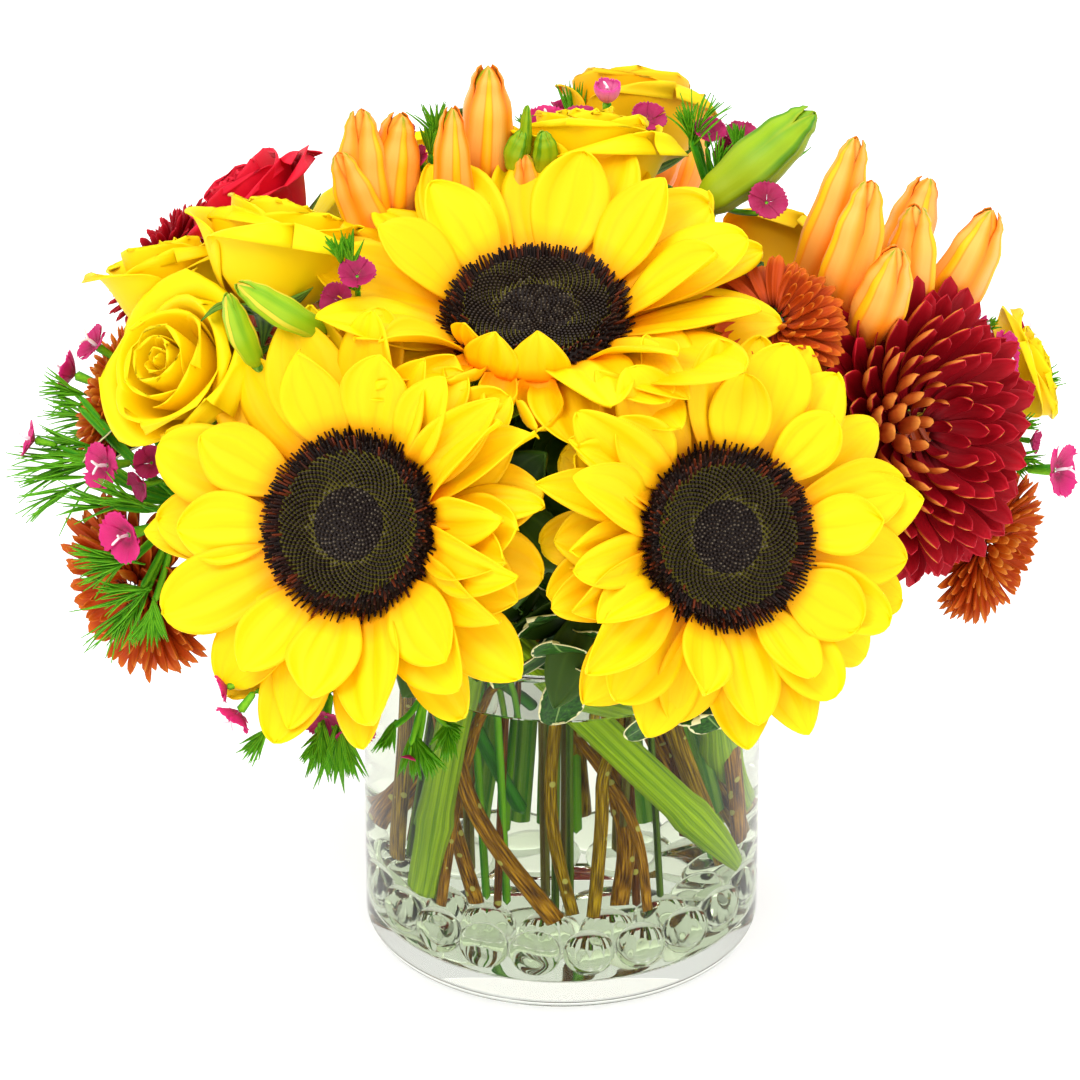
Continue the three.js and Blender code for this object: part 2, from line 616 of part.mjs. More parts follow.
for (const [name, rows] of Object.entries(marbleRings)) {
  addPiece(name, fuse([marbleRing(rows)]), finishes.marble, fuse([marbleRing(rows, clearance)]));
}
addPiece("water", fuse([water()]), finishes.water, null);
export default bouquet;
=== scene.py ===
# Sunflowers in a glass vase, with roses, chrysanthemums, lily buds, dianthus and pittosporum.
# The dictionaries are in millimetres and degrees, the scene in metres. The front looks to -Y;
# an azimuth of 0 is the front and 90 is +X.
import math
import random
from functools import lru_cache

import bmesh
import bpy
from mathutils import Matrix, Vector, noise


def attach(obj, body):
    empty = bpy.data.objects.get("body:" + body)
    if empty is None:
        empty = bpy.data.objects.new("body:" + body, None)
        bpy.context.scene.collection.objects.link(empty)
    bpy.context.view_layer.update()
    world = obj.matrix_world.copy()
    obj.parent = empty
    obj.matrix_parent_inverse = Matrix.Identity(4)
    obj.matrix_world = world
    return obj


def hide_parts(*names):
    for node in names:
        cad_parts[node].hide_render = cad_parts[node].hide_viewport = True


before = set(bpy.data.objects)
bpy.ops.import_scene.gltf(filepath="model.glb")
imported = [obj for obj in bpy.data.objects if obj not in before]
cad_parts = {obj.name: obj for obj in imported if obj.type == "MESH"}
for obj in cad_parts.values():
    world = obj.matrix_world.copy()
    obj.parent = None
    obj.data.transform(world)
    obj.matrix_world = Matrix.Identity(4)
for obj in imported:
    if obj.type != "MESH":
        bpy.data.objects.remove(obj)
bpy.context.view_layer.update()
mm = 0.001
goldenAngle = math.pi * (3 - math.sqrt(5))
scaled = Matrix.Scale(mm, 4)


def table(columns, rows):
    # one dictionary for each row: its name comes first, then a value for each column
    return {name: dict(zip(columns.split(), values)) for name, *values in rows}


# the distances and sizes of the camera, lamps and floor are in metres, the aim is in millimetres
cameraSettings = {"aim": (-7, 0, 136), "distance": 2.0, "down": 28, "lens": 211.3, "sensor": 36}
lightSettings = table("az el distance size power", [
    ("keyLight", -38, 52, 1.5, 0.7, 9),
    ("fillLight", 52, 34, 1.6, 1.0, 4),
    ("topLight", 150, 76, 1.4, 1.2, 8),
    ("frontLight", 4, 14, 1.9, 0.8, 2.5),
])
studioSettings = {"skyBrightness": 0.85, "floorGlow": 0.4, "floorSize": 6, "floorDrop": 0.0003,
                  "bounces": 20, "glossyBounces": 8}


def heading(az, el):
    a, e = math.radians(az), math.radians(el)
    return Vector((math.sin(a) * math.cos(e), -math.cos(a) * math.cos(e), math.sin(e)))


def lookAt(obj, place, target):
    obj.location = place
    obj.rotation_euler = (target - place).to_track_quat("-Z", "Y").to_euler()


def setStage():
    aim = Vector(cameraSettings["aim"]) * mm
    camera = bpy.data.objects.new("camera", bpy.data.cameras.new("camera"))
    camera.data.lens = cameraSettings["lens"]
    camera.data.sensor_width = cameraSettings["sensor"]
    bpy.context.scene.collection.objects.link(camera)
    lookAt(camera, aim + heading(0, cameraSettings["down"]) * cameraSettings["distance"], aim)
    bpy.context.scene.camera = camera

    bm = bmesh.new()
    bmesh.ops.create_grid(bm, x_segments=1, y_segments=1, size=studioSettings["floorSize"])
    mesh = bpy.data.meshes.new("floor")
    bm.to_mesh(mesh)
    bm.free()
    floor = bpy.data.objects.new("floor", mesh)
    floor.location.z = -studioSettings["floorDrop"]
    bpy.context.scene.collection.objects.link(floor)
    floor.data.materials.append(plainFinish("floorWhite", "#f4f4f4", 0.9, Emission_Color=(1, 1, 1, 1),
                                            Emission_Strength=studioSettings["floorGlow"]))

    for name, lamp in lightSettings.items():
        light = bpy.data.objects.new(name, bpy.data.lights.new(name, "AREA"))
        light.data.shape = "DISK"
        light.data.size = lamp["size"]
        light.data.energy = lamp["power"]
        bpy.context.scene.collection.objects.link(light)
        lookAt(light, aim + heading(lamp["az"], lamp["el"]) * lamp["distance"], aim)
    world = bpy.data.worlds.new("studio")
    world.use_nodes = True
    sky = world.node_tree.nodes["Background"].inputs
    sky["Color"].default_value = (1, 1, 1, 1)
    sky["Strength"].default_value = studioSettings["skyBrightness"]
    bpy.context.scene.world = world
    bpy.context.scene.view_settings.view_transform = "Standard"
    # the thick glass needs long light paths to stay clear
    bpy.context.scene.cycles.max_bounces = studioSettings["bounces"]
    bpy.context.scene.cycles.glossy_bounces = studioSettings["glossyBounces"]
    bpy.context.scene.cycles.transmission_bounces = studioSettings["bounces"]
    print("stage set")


def tint(code):
    # a hex colour as the linear values that Blender works in
    parts = [int(code[i:i + 2], 16) / 255 for i in (1, 3, 5)]
    return [p / 12.92 if p <= 0.04045 else ((p + 0.055) / 1.055) ** 2.4 for p in parts] + [1]


class Finish:
    # a material with short calls for the few nodes that these finishes need
    def __init__(self, name, roughness, **sockets):
        self.material = bpy.data.materials.new(name)
        self.material.use_nodes = True
        self.nodes = self.material.node_tree.nodes
        self.links = self.material.node_tree.links
        self.shader = self.nodes["Principled BSDF"]
        self.shader.inputs["Roughness"].default_value = roughness
        for socket, value in sockets.items():
            self.shader.inputs[socket.replace("_", " ")].default_value = value

    def add(self, kind, *inputs, **settings):
        node = self.nodes.new(kind)
        for setting, value in settings.items():
            setattr(node, setting, value)
        for place, value in enumerate(inputs):
            self.feed(node, place, value)
        return node

    def feed(self, node, place, value):
        if value is None:
            return
        if isinstance(value, bpy.types.NodeSocket):
            self.links.new(value, node.inputs[place])
        else:
            node.inputs[place].default_value = value

    def acrossAlong(self):
        # the piece's own map: the first runs across or round, the second from root to tip
        split = self.add("ShaderNodeSeparateXYZ", self.add("ShaderNodeUVMap", uv_map="petal").outputs[0])
        return split.outputs[0], split.outputs[1]

    def calc(self, operation, a, b=None):
        return self.add("ShaderNodeMath", a, b, operation=operation).outputs[0]

    def ramp(self, value, stops):
        node = self.add("ShaderNodeValToRGB", value)
        elements = node.color_ramp.elements
        while len(elements) < len(stops):
            elements.new(0.5)
        for element, (place, colour) in zip(elements, stops):
            element.position = place
            element.color = tint(colour)
        return node.outputs[0]

    def mix(self, share, a, b):
        node = self.add("ShaderNodeMix", data_type="RGBA")
        self.feed(node, 0, share)
        self.feed(node, 6, a)
        self.feed(node, 7, b)
        return node.outputs[2]

    def times(self, a, b):
        return self.calc("MULTIPLY", a, b)

    def grain(self, scale, stretch, detail):
        # noise on the piece's own map, so that it follows a petal or stem
        place = self.add("ShaderNodeMapping", self.add("ShaderNodeUVMap", uv_map="petal").outputs[0])
        place.inputs["Scale"].default_value = stretch
        node = self.add("ShaderNodeTexNoise", place.outputs[0])
        node.inputs["Scale"].default_value = scale
        node.inputs["Detail"].default_value = detail
        return node.outputs[0]

    def tone(self):
        # each petal's or floret's own shade of colour; on the rolled sunflower petals under the top disc it
        # is deepened as painted shade
        return self.add("ShaderNodeAttribute", attribute_name="tone").outputs["Fac"]

    def colour(self, socket):
        self.links.new(socket, self.shader.inputs["Base Color"])

    def relief(self, height, depth, strength):
        bump = self.add("ShaderNodeBump")
        bump.inputs["Strength"].default_value = strength
        bump.inputs["Distance"].default_value = depth * mm
        self.links.new(height, bump.inputs["Height"])
        self.links.new(bump.outputs[0], self.shader.inputs["Normal"])


def plainFinish(name, code, roughness, **sockets):
    made = Finish(name, roughness, **sockets)
    made.shader.inputs["Base Color"].default_value = tint(code)
    return made.material


def petalFinish(name, root, body, tip, vein, veins, roughness=0.55, veinShare=0.3):
    # colour runs from root to tip, a little deeper along fine veins and different on each petal; a root
    # colour deeper than the body is painted shade, where the petals overlap near their roots
    made = Finish(name, roughness, Specular_IOR_Level=0.18)
    across, along = made.acrossAlong()
    base = made.ramp(along, [(0.0, root), (0.22, body), (0.7, body), (1.0, tip)])
    wander = made.times(made.grain(2.0, (1, 1, 1), 1.0), 0.12)
    wave = made.calc("SINE", made.times(made.calc("ADD", across, wander), veins * 2 * math.pi))
    line = made.calc("POWER", made.calc("MULTIPLY_ADD", wave, 0.5), 7.0)
    fading = made.calc("SUBTRACT", veinShare, made.times(along, veinShare * 0.8))
    veined = made.mix(made.times(line, fading), base, tint(vein))
    made.colour(made.mix(made.times(made.tone(), 0.3), veined, tint(vein)))
    made.relief(line, -0.12, 0.4)
    return made.material


def discFinish():
    # one ramp for all florets: dark and rust spikes, then brown and grey middles, then olive ones
    made = Finish("discFlorets", 0.6, Specular_IOR_Level=0.3)
    made.colour(made.ramp(made.tone(), [
        (0.0, "#150603"), (0.15, "#2c0d05"), (0.32, "#6a2808"), (0.45, "#1d110a"), (0.56, "#33261a"),
        (0.72, "#5a5042"), (0.85, "#4c4408"), (1.0, "#857c10"),
    ]))
    return made.material


def stemFinish(name, dark, light, ridges, contrast=0.22):
    # long ridges and a fine grain that both follow the stem
    made = Finish(name, 0.55, Specular_IOR_Level=0.2)
    across, _ = made.acrossAlong()
    wave = made.calc("SINE", made.times(across, ridges * 2 * math.pi))
    streak = made.grain(18.0, (3.0, 0.35, 1), 4.0)
    level = made.calc("ADD", made.times(wave, contrast), streak)
    made.colour(made.ramp(level, [(0.25, dark), (0.75, light)]))
    made.relief(level, 0.5, 0.6)
    return made.material


def barkFinish(name, dark, middle, light):
    # grain along the stem and pale pores
    made = Finish(name, 0.5, Specular_IOR_Level=0.12)
    streak = made.grain(22.0, (1.3, 0.8, 1), 6.0)
    base = made.ramp(streak, [(0.3, dark), (0.5, middle), (0.7, light)])
    spots = made.add("ShaderNodeTexVoronoi", feature="F1")
    spots.inputs["Scale"].default_value = 190
    made.links.new(made.add("ShaderNodeTexCoord").outputs["Object"], spots.inputs["Vector"])
    pore = made.calc("LESS_THAN", spots.outputs["Distance"], 0.2)
    made.colour(made.mix(made.times(pore, 0.8), base, tint("#d0cc60")))
    made.relief(streak, 0.3, 0.5)
    return made.material


def leafFinish():
    # a dark leaf with a ragged cream edge and a pale midrib
    made = Finish("pittosporumLeaf", 0.4, Specular_IOR_Level=0.2)
    across, along = made.acrossAlong()
    fromMiddle = made.calc("ABSOLUTE", made.calc("SUBTRACT", across, 0.5))
    ragged = made.calc("MULTIPLY_ADD", made.grain(7.0, (1, 1.5, 1), 3.0), 0.16)
    ragged.node.inputs[2].default_value = 0.39
    blotch = made.grain(5.0, (2, 3, 1), 2.0)
    green = made.ramp(blotch, [(0.35, "#143a08"), (0.6, "#2a5c10"), (0.8, "#4a801c")])
    rib = made.calc("LESS_THAN", fromMiddle, 0.02)
    ribbed = made.mix(made.times(rib, 0.6), green, tint("#8fb060"))
    edge = made.calc("GREATER_THAN", fromMiddle, ragged)
    tip = made.calc("GREATER_THAN", along, made.calc("SUBTRACT", 1.3, made.times(ragged, 0.8)))
    made.colour(made.mix(made.calc("MAXIMUM", edge, tip), ribbed, tint("#f2ecb4")))
    made.relief(blotch, 0.3, 0.4)
    return made.material


def budFinish(name, edge, body, rib, root, tip):
    # each petal of the bud has a rib down its middle and paler bands beside it; its edges, and the bud
    # towards its foot, take the root colour, which on the orange buds is painted shade
    made = Finish(name, 0.42, Specular_IOR_Level=0.3)
    across, along = made.acrossAlong()
    fromRib = made.calc("ABSOLUTE", made.calc("SUBTRACT", across, 0.5))
    band = made.ramp(fromRib, [
        (0.0, rib), (0.05, rib), (0.075, body), (0.1, edge), (0.25, edge), (0.38, body), (0.5, root),
    ])
    fine = made.grain(6.0, (14, 1, 1), 3.0)
    rooted = made.mix(made.ramp(along, [(0.08, "#ffffff"), (0.5, "#000000")]), band, tint(root))
    toned = made.mix(made.times(made.tone(), 0.3), rooted, tint(body))
    streaked = made.mix(made.times(fine, 0.2), toned, tint(body))
    green = made.times(made.ramp(along, [(0.74, "#000000"), (0.93, "#ffffff")]), 0.85)
    narrow = made.ramp(fromRib, [(0.0, "#ffffff"), (0.3, "#303030")])
    made.colour(made.mix(made.times(green, narrow), streaked, tint(tip)))
    made.relief(fine, 0.15, 0.5)
    return made.material


def dianthusFinish():
    made = Finish("dianthusPetal", 0.55)
    _, along = made.acrossAlong()
    streak = made.grain(8.0, (9, 0.8, 1), 3.0)
    base = made.ramp(along, [
        (0.0, "#e890bc"), (0.06, "#d0086c"), (0.22, "#8c0440"), (0.42, "#c80064"), (1.0, "#e80c80"),
    ])
    deep = made.mix(made.times(made.tone(), 0.75), base, tint("#8a0838"))
    made.colour(made.mix(made.times(streak, 0.3), deep, tint("#b00a5a")))
    made.relief(streak, 0.3, 0.6)
    return made.material


def clearFinish(name, code, ior):
    made = Finish(name, 0.0, IOR=ior, Transmission_Weight=1.0)
    made.shader.inputs["Base Color"].default_value = tint(code)
    # a weak mirror at the front keeps what is inside crisp
    made.shader.inputs["Specular Tint"].default_value = (0.2, 0.2, 0.2, 1)
    return made.material


def stance(at, az, el):
    # a flower is made in millimetres round +Z, then set in its place, looking out
    out = heading(az, el)
    side = Vector((math.cos(math.radians(az)), math.sin(math.radians(az)), 0))
    turn = Matrix((side, out.cross(side), out)).transposed().to_4x4()
    return Matrix.Translation(Vector(at) * mm) @ turn @ Matrix.Scale(mm, 4)


def startPiece():
    bm = bmesh.new()
    bm.loops.layers.uv.new("petal")
    bm.faces.layers.float.new("tone")
    return bm


def grow(bm, across, along, shape, tone=0.5, material=0, closed=False):
    # bends a grid into a petal or, closed, into a stem or bud: u runs across and v from root to tip
    made = bmesh.ops.create_grid(bm, x_segments=across, y_segments=along, size=0.5, calc_uvs=True)["verts"]
    for vert in made:
        vert.co = shape(vert.co.x + 0.5, vert.co.y + 0.5)
    toneLayer = bm.faces.layers.float["tone"]
    for face in {face for vert in made for face in vert.link_faces}:
        face[toneLayer] = tone
        face.material_index = material
        face.smooth = True
    if closed:
        faces = list({face for vert in made for face in vert.link_faces})
        bmesh.ops.remove_doubles(bm, verts=made, dist=1e-5)
        bmesh.ops.recalc_face_normals(bm, faces=[face for face in faces if face.is_valid])


def named(node, part):
    # a piece is named after its node and the part of the flower that it shows
    return node.replace("_", "") + part


def setPiece(bm, name, materials, nodes, place=None, thickness=0, back=0):
    # thickness gives thin petals a wall, and back moves on to another finish for their backs
    if place:
        bm.transform(place)
    mesh = bpy.data.meshes.new(name)
    bm.to_mesh(mesh)
    bm.free()
    for material in materials:
        mesh.materials.append(material)
    piece = bpy.data.objects.new(name, mesh)
    bpy.context.scene.collection.objects.link(piece)
    if thickness:
        wall = piece.modifiers.new("thickness", "SOLIDIFY")
        wall.thickness = thickness * mm
        wall.offset = 0
        wall.material_offset = back
    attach(piece, "root")
    if nodes:
        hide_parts(*nodes)
    return piece


def through(stops, v):
    # a value that eases from stop to stop
    for (a, low), (b, high) in zip(stops, stops[1:]):
        if v <= b:
            share = (v - a) / (b - a)
            return low + (high - low) * share * share * (3 - 2 * share)
    return stops[-1][1]


def alongCurve(points, t):
    # a smooth curve through points
    spans = len(points) - 1
    k = min(int(t * spans), spans - 1)
    s = t * spans - k
    a, b = points[max(k - 1, 0)], points[k]
    c, d = points[k + 1], points[min(k + 2, spans)]
    square, cube = 2 * a - 5 * b + 4 * c - d, 3 * b - a - 3 * c + d
    return 0.5 * (2 * b + (c - a) * s + square * s * s + cube * s ** 3)


def stemShape(points, radius, ridges=0, ridgeDepth=0.0, seed=0):
    # a round stem with closed ends; radius(v) may swell and shrink
    points = [Vector(p) for p in points]

    @lru_cache(maxsize=None)
    def ringAt(v):
        inner = min(max((v - 0.03) / 0.94, 0), 1)
        ahead = alongCurve(points, min(inner + 0.01, 1)) - alongCurve(points, max(inner - 0.01, 0))
        ahead.normalize()
        side = ahead.cross(Vector((0.31, 0.9, 0.3))).normalized()
        size = 0 if v in (0, 1) else radius(inner)
        return inner, alongCurve(points, inner), side, ahead.cross(side), size

    def shape(u, v):
        inner, centre, side, over, size = ringAt(round(v, 5))
        turn = u * 2 * math.pi
        size *= 1 + ridgeDepth * math.cos(ridges * turn)
        size *= 1 + 0.05 * noise.noise(Vector((math.cos(turn), math.sin(turn), inner * 9 + seed)))
        return centre + (side * math.cos(turn) + over * math.sin(turn)) * size
    return shape


def growStem(bm, points, radius, around=8, along=24, place=None, material=0, **settings):
    # a stem of one radius, or of a radius that changes from root to tip
    shape = stemShape(points, radius if callable(radius) else lambda v: radius, **settings)
    grow(bm, around, along, (lambda u, v: place @ shape(u, v)) if place else shape, material=material,
         closed=True)


def outline(base, peak, blunt):
    # the half width of a petal or leaf from root to tip, as a share of its widest
    def width(v):
        if v < peak:
            return base + (1 - base) * math.sin(v / peak * math.pi / 2)
        return max(0.0, math.cos((v - peak) / (1 - peak) * math.pi / 2)) ** blunt
    return width


def petalShape(length, half, width, slopes, roll, fold=0.0, ruffle=0.0, twist=0.0, seed=0.0, tube=0.35):
    # a petal along +X with its face up; the slope bends evenly from the first value to the second,
    # roll turns up its sides, and tube is how far the roll has come at the root
    first, last = (math.radians(s) for s in slopes)
    bend = last - first if abs(last - first) > 1e-4 else 1e-4

    def shape(u, v):
        s = 2 * u - 1
        v = 1 - (1 - v) ** 1.5
        slope = first + bend * v
        ahead = length * (math.sin(slope) - math.sin(first)) / bend
        up = length * (math.cos(first) - math.cos(slope)) / bend
        wide = half * width(v)
        curl = roll * (tube + (1 - tube) * v) + 1e-4
        y = wide * math.sin(s * curl) / curl
        lift = wide * (1 - math.cos(s * curl)) / curl
        lift += fold * math.sin(math.pi * v) ** 0.8 * math.cos((2.1 + seed % 1) * math.pi * s + seed)
        lift += ruffle * s * s * v * noise.noise(Vector((s * 1.5 + seed, v * 2.3, seed * 1.7)))
        cos, sin = math.cos(twist * v), math.sin(twist * v)
        y, lift = y * cos - lift * sin, y * sin + lift * cos
        return Vector((ahead - lift * math.sin(slope), y, up + lift * math.cos(slope)))
    return shape


def placed(shape, turn, radius, height, lean=0.0):
    # sets a petal out from the axis, then turns it round it
    move = Matrix.Rotation(turn, 4, "Z") @ Matrix.Translation((radius, 0, height))
    move = move @ Matrix.Rotation(lean, 4, "X")
    return lambda u, v: move @ shape(u, v)


vaseSettings = {
    "radius": 63.5, "height": 121, "wall": 3.5, "floor": 9, "rimRound": 1.75, "heelRound": 5.0,
    "steps": 192, "waterLevel": 104, "cornerRound": 3.5, "marble": 7.9,
    # each ring of marbles: its radius and how many lie in it
    "rings": {"outer": (51.2, 20), "inner": (34.7, 13)},
}


def spun(name, profile, finishes, nodes, steps, second):
    # a turned piece: its profile runs from the axis out and back to the axis, and second tells
    # which faces have the second finish
    bm = startPiece()
    verts = [bm.verts.new((x * mm, 0, z * mm)) for x, z in profile]
    edges = [bm.edges.new(pair) for pair in zip(verts, verts[1:])]
    bmesh.ops.spin(bm, geom=verts + edges, cent=(0, 0, 0), axis=(0, 0, 1), angle=2 * math.pi,
                   steps=steps, use_merge=True)
    bmesh.ops.remove_doubles(bm, verts=bm.verts, dist=1e-6)
    bmesh.ops.recalc_face_normals(bm, faces=bm.faces)
    for face in bm.faces:
        face.smooth = True
        face.material_index = int(second(face.calc_center_median() / mm))
    return setPiece(bm, name, finishes, nodes)


def arc(cx, cz, radius, start, end, steps=6):
    turns = [math.radians(start + (end - start) * i / steps) for i in range(steps + 1)]
    return [(cx + radius * math.cos(t), cz + radius * math.sin(t)) for t in turns]


def makeVase():
    s = vaseSettings
    out, inside = s["radius"], s["radius"] - s["wall"]
    heel, rim = s["heelRound"], s["rimRound"]
    corner, level = s["cornerRound"], s["waterLevel"]
    # where water touches the glass, light bends by the ratio of the two
    glass = [clearFinish("vaseGlass", "#f2f5ec", 1.45), clearFinish("vaseGlassWet", "#f8fbf4", 1.09)]
    profile = [(0, 0), (out - heel, 0)] + arc(out - heel, heel, heel, -90, 0)
    profile += arc(out - rim, s["height"] - rim, rim, 0, 180, 8)
    profile += [(inside, level + 1)] + arc(inside - corner, s["floor"] + corner, corner, 0, -90)
    profile += [(0, s["floor"])]
    spun("vaseGlass", profile, glass, ["vase"], s["steps"],
         lambda c: s["floor"] - 0.1 < c.z < level and c.xy.length < inside + 0.1).visible_shadow = False

    water = [clearFinish("waterClear", "#ffffff", 1.33), clearFinish("waterSide", "#ffffff", 1.0)]
    edge, low = inside - 0.05, s["floor"] + 0.05
    # the water creeps up a little where it meets the glass
    creep = 1.2
    profile = [(0, low), (edge - corner, low)] + arc(edge - corner, low + corner, corner, -90, 0)
    profile += [(edge, level + creep), (edge - creep, level), (0, level)]
    spun("waterBody", profile, water, ["water"], s["steps"],
         lambda c: c.z < level - 0.1).visible_shadow = False

    for name, (ring, count) in s["rings"].items():
        # a marble lies in water, so it bends light less than it would in air
        marbleGlass = clearFinish("marbleGlass_" + name, "#f0f4ea", 1.2)
        bm = startPiece()
        height = s["floor"] + s["marble"] + 0.2
        for i in range(count):
            turn = (i + 0.5) / count * 2 * math.pi
            spot = Vector((ring * math.cos(turn), ring * math.sin(turn), height)) * mm
            bmesh.ops.create_uvsphere(bm, u_segments=32, v_segments=20, radius=(s["marble"] - 0.1) * mm,
                                      matrix=Matrix.Translation(spot))
        for face in bm.faces:
            face.smooth = True
        marbles = setPiece(bm, "marbles_" + name, [marbleGlass], ["glass_marbles_" + name])
        marbles.visible_shadow = False
    print("vase, water and marbles")


sunflowerSettings = {
    # pressed is the span of turns where petals meet the neighbours; cut narrows the stem's foot
    "left": {"at": (-63, -92, 190), "az": -24, "el": 30, "disc": 27.5, "reach": 68, "seed": 3, "rise": 4,
             "pressed": (-20, 75), "stem": [(-32, -63, 150), (8, -44, 98), (53, -22, 31)],
             "stemRadius": 5.2, "cut": 0.55},
    "right": {"at": (48, -94, 187), "az": 20, "el": 29, "disc": 27, "reach": 63, "seed": 5, "rise": 2,
              "pressed": (128, 215), "stem": [(40, -60, 152), (40, -22, 114), (34, 20, 33)],
              "stemRadius": 4.6, "cut": 0},
    "top": {"at": (-8, -42, 235), "az": -3, "el": 75, "disc": 28, "reach": 75, "seed": 9, "rise": 16,
            "pressed": (212, 328), "stem": [(-20, -46, 160), (-31, -44, 104), (-42, -36, 31)],
            "stemRadius": 5.4, "cut": 0},
}
sunflowerPetals = {
    # count, share of the reach, half width as a share of the reach, rise above the disc's plane, roll
    "layers": [(15, 1.0, 0.163, -3, 0.4), (14, 0.94, 0.17, 9, 0.5), (9, 0.8, 0.155, 22, 0.7)],
    "thickness": 0.45, "across": 14, "along": 16,
    # the petals pressed against the neighbours: short, steep and folded
    "pressedCount": (6, 5), "pressedLength": 37, "pressedHalf": (8, 11), "pressedSlopes": (50, 12),
    # turn, length, half width, slopes, roll: the rolled petals under the top disc
    "rolled": [(236, 18, 9, (-26, 60), 1.7), (254, 23, 11, (-56, 66), 2.0), (273, 27, 12, (-62, 58), 1.9)],
    # spans that the layers and the pressed petals of the top head leave to the rolled and covering ones
    "gap": (240, 300), "pressedGap": (220, 308),
    # the petals bent up over the lower rim of the top disc and those beside them, which lie flatter:
    # turn, height, length, half width, slopes, roll, outline, start
    "covering": [(274, 0.5, 17, 10, (80, 140), 0.5, (0.9, 0.3, 0.8), 2.5),
                 (246, 0.5, 15, 9, (80, 130), 0.5, (0.8, 0.4, 0.8), 2.5),
                 (226, 0.5, 15, 8, (64, 90), 0.5, (0.7, 0.4, 0.8), -2),
                 (297, 1.5, 30, 13, (34, -10), 0.5, (0.6, 0.5, 0.5), -2),
                 (314, 0.5, 34, 12, (24, -10), 0.4, (0.6, 0.5, 0.5), -2),
                 (286, -2.5, 30, 12, (10, -16), 0.4, (0.6, 0.5, 0.5), -2)],
}
discSettings = {"florets": 1500, "batch": 100, "spikyFrom": 0.78, "oliveFrom": 0.46, "depth": 5,
                "hollow": 2.6, "rimFrom": 0.86, "rimDrop": 5.4, "spikyTall": (2.4, 4.4),
                # the places on the colour ramp that the florets of each ring choose from
                "spikyTones": (0.0, 0.0, 0.06, 0.12, 0.18, 0.3), "middleTones": (0.45, 0.5, 0.52, 0.02),
                "innerTones": (0.45, 0.5, 0.5, 0.56, 0.62, 0.7), "baseTone": 0.02, "oliveTone": 0.93}
# the green dish and bracts behind a head: the dish as stops of radius and height from back to front
bractSettings = {"count": 22, "rows": 3, "length": (24, 31), "half": (5, 6.5),
                 "cup": [(0, 0), (0.25, 0.55), (0.6, 0.98), (0.8, 0.96), (1, 0)],
                 "heights": [(0, -12.5), (0.25, -10), (0.6, -5.6), (0.8, -3.6), (1, -3.4)]}


def clearOfSunflowers(point, margin):
    for head in sunflowerSettings.values():
        out = heading(head["az"], head["el"])
        away = point - Vector(head["at"])
        above = away.dot(out)
        if above > -margin and (away - out * above).length < head["reach"]:
            return False
    return True


def makeSunflowerPetals(side, head, petalMaterials):
    draw = random.Random(head["seed"])
    p = sunflowerPetals
    bm = startPiece()
    low, high = head["pressed"]

    def add(turn, height, length, half, slopes, roll, width, lean=0.0, tube=0.35, start=-2, deep=0.0,
            shown=True):
        shape = petalShape(length, half, width, slopes, roll, fold=draw.uniform(0.3, 0.9),
                           ruffle=draw.uniform(1.5, 5), twist=draw.uniform(-0.3, 0.3),
                           seed=draw.uniform(0, 90), tube=tube)
        tone = max(deep, draw.random() ** 2)
        if shown:
            place = placed(shape, math.radians(turn), head["disc"] + start, height, lean)
            grow(bm, p["across"], p["along"], place, tone=tone)

    for layer, (count, share, half, rise, roll) in enumerate(p["layers"]):
        for i in range(count):
            turn = ((i + 0.5 * layer + draw.uniform(-0.22, 0.22)) / count * 360) % 360
            inside = (low < turn < high) or (low < turn - 360 < high)
            length = (head["reach"] * share - head["disc"] + 3) * draw.uniform(0.92, 1.04)
            slope = rise + head["rise"] + draw.uniform(-5, 5)
            if inside and layer < 2:
                length, slope = length * 0.8, slope - 6
            elif inside:
                continue
            wide = head["reach"] * half * draw.uniform(0.9, 1.15)
            slopes = slope + draw.uniform(-3, 8), slope + draw.uniform(-26, 10)
            curl = roll * draw.uniform(0.6, 1.3)
            width = outline(0.42, draw.uniform(0.48, 0.62), draw.uniform(0.42, 0.75))
            add(turn, -3.4 + 1.7 * layer, length, wide, slopes, curl, width, draw.uniform(-0.25, 0.25),
                shown=side != "top" or not p["gap"][0] < turn < p["gap"][1])
    for layer, count in enumerate(p["pressedCount"]):
        for i in range(count):
            turn = low + (high - low) * (i + 0.5 * layer + draw.uniform(0.1, 0.4)) / count
            if side == "top" and p["pressedGap"][0] < turn < p["pressedGap"][1]:
                continue
            first, last = p["pressedSlopes"]
            length, wide = p["pressedLength"] * draw.uniform(0.8, 1.1), draw.uniform(*p["pressedHalf"])
            slopes = first - 22 * layer + draw.uniform(-12, 10), last + draw.uniform(-34, 14)
            curl, width = draw.uniform(0.6, 1.1), outline(0.5, 0.5, draw.uniform(0.5, 0.9))
            add(turn, -1.5 + 1.2 * layer, length, wide, slopes, curl, width, draw.uniform(-0.5, 0.5))
    if side == "top":
        # the rolled petals lie under the disc, and their deep tone of 0.9 is painted shade
        for turn, length, half, slopes, roll in p["rolled"]:
            add(turn, 1, length, half, slopes, roll, outline(0.7, 0.6, 0.45), tube=0.8, start=1,
                deep=0.9)
        for turn, height, length, half, slopes, roll, width, start in p["covering"]:
            add(turn, height, length, half, slopes, roll, outline(*width), start=start)
    setPiece(bm, f"sunflower{side.title()}Petals", petalMaterials, [f"sunflower_{side}_petals"],
             stance(head["at"], head["az"], head["el"]), p["thickness"])


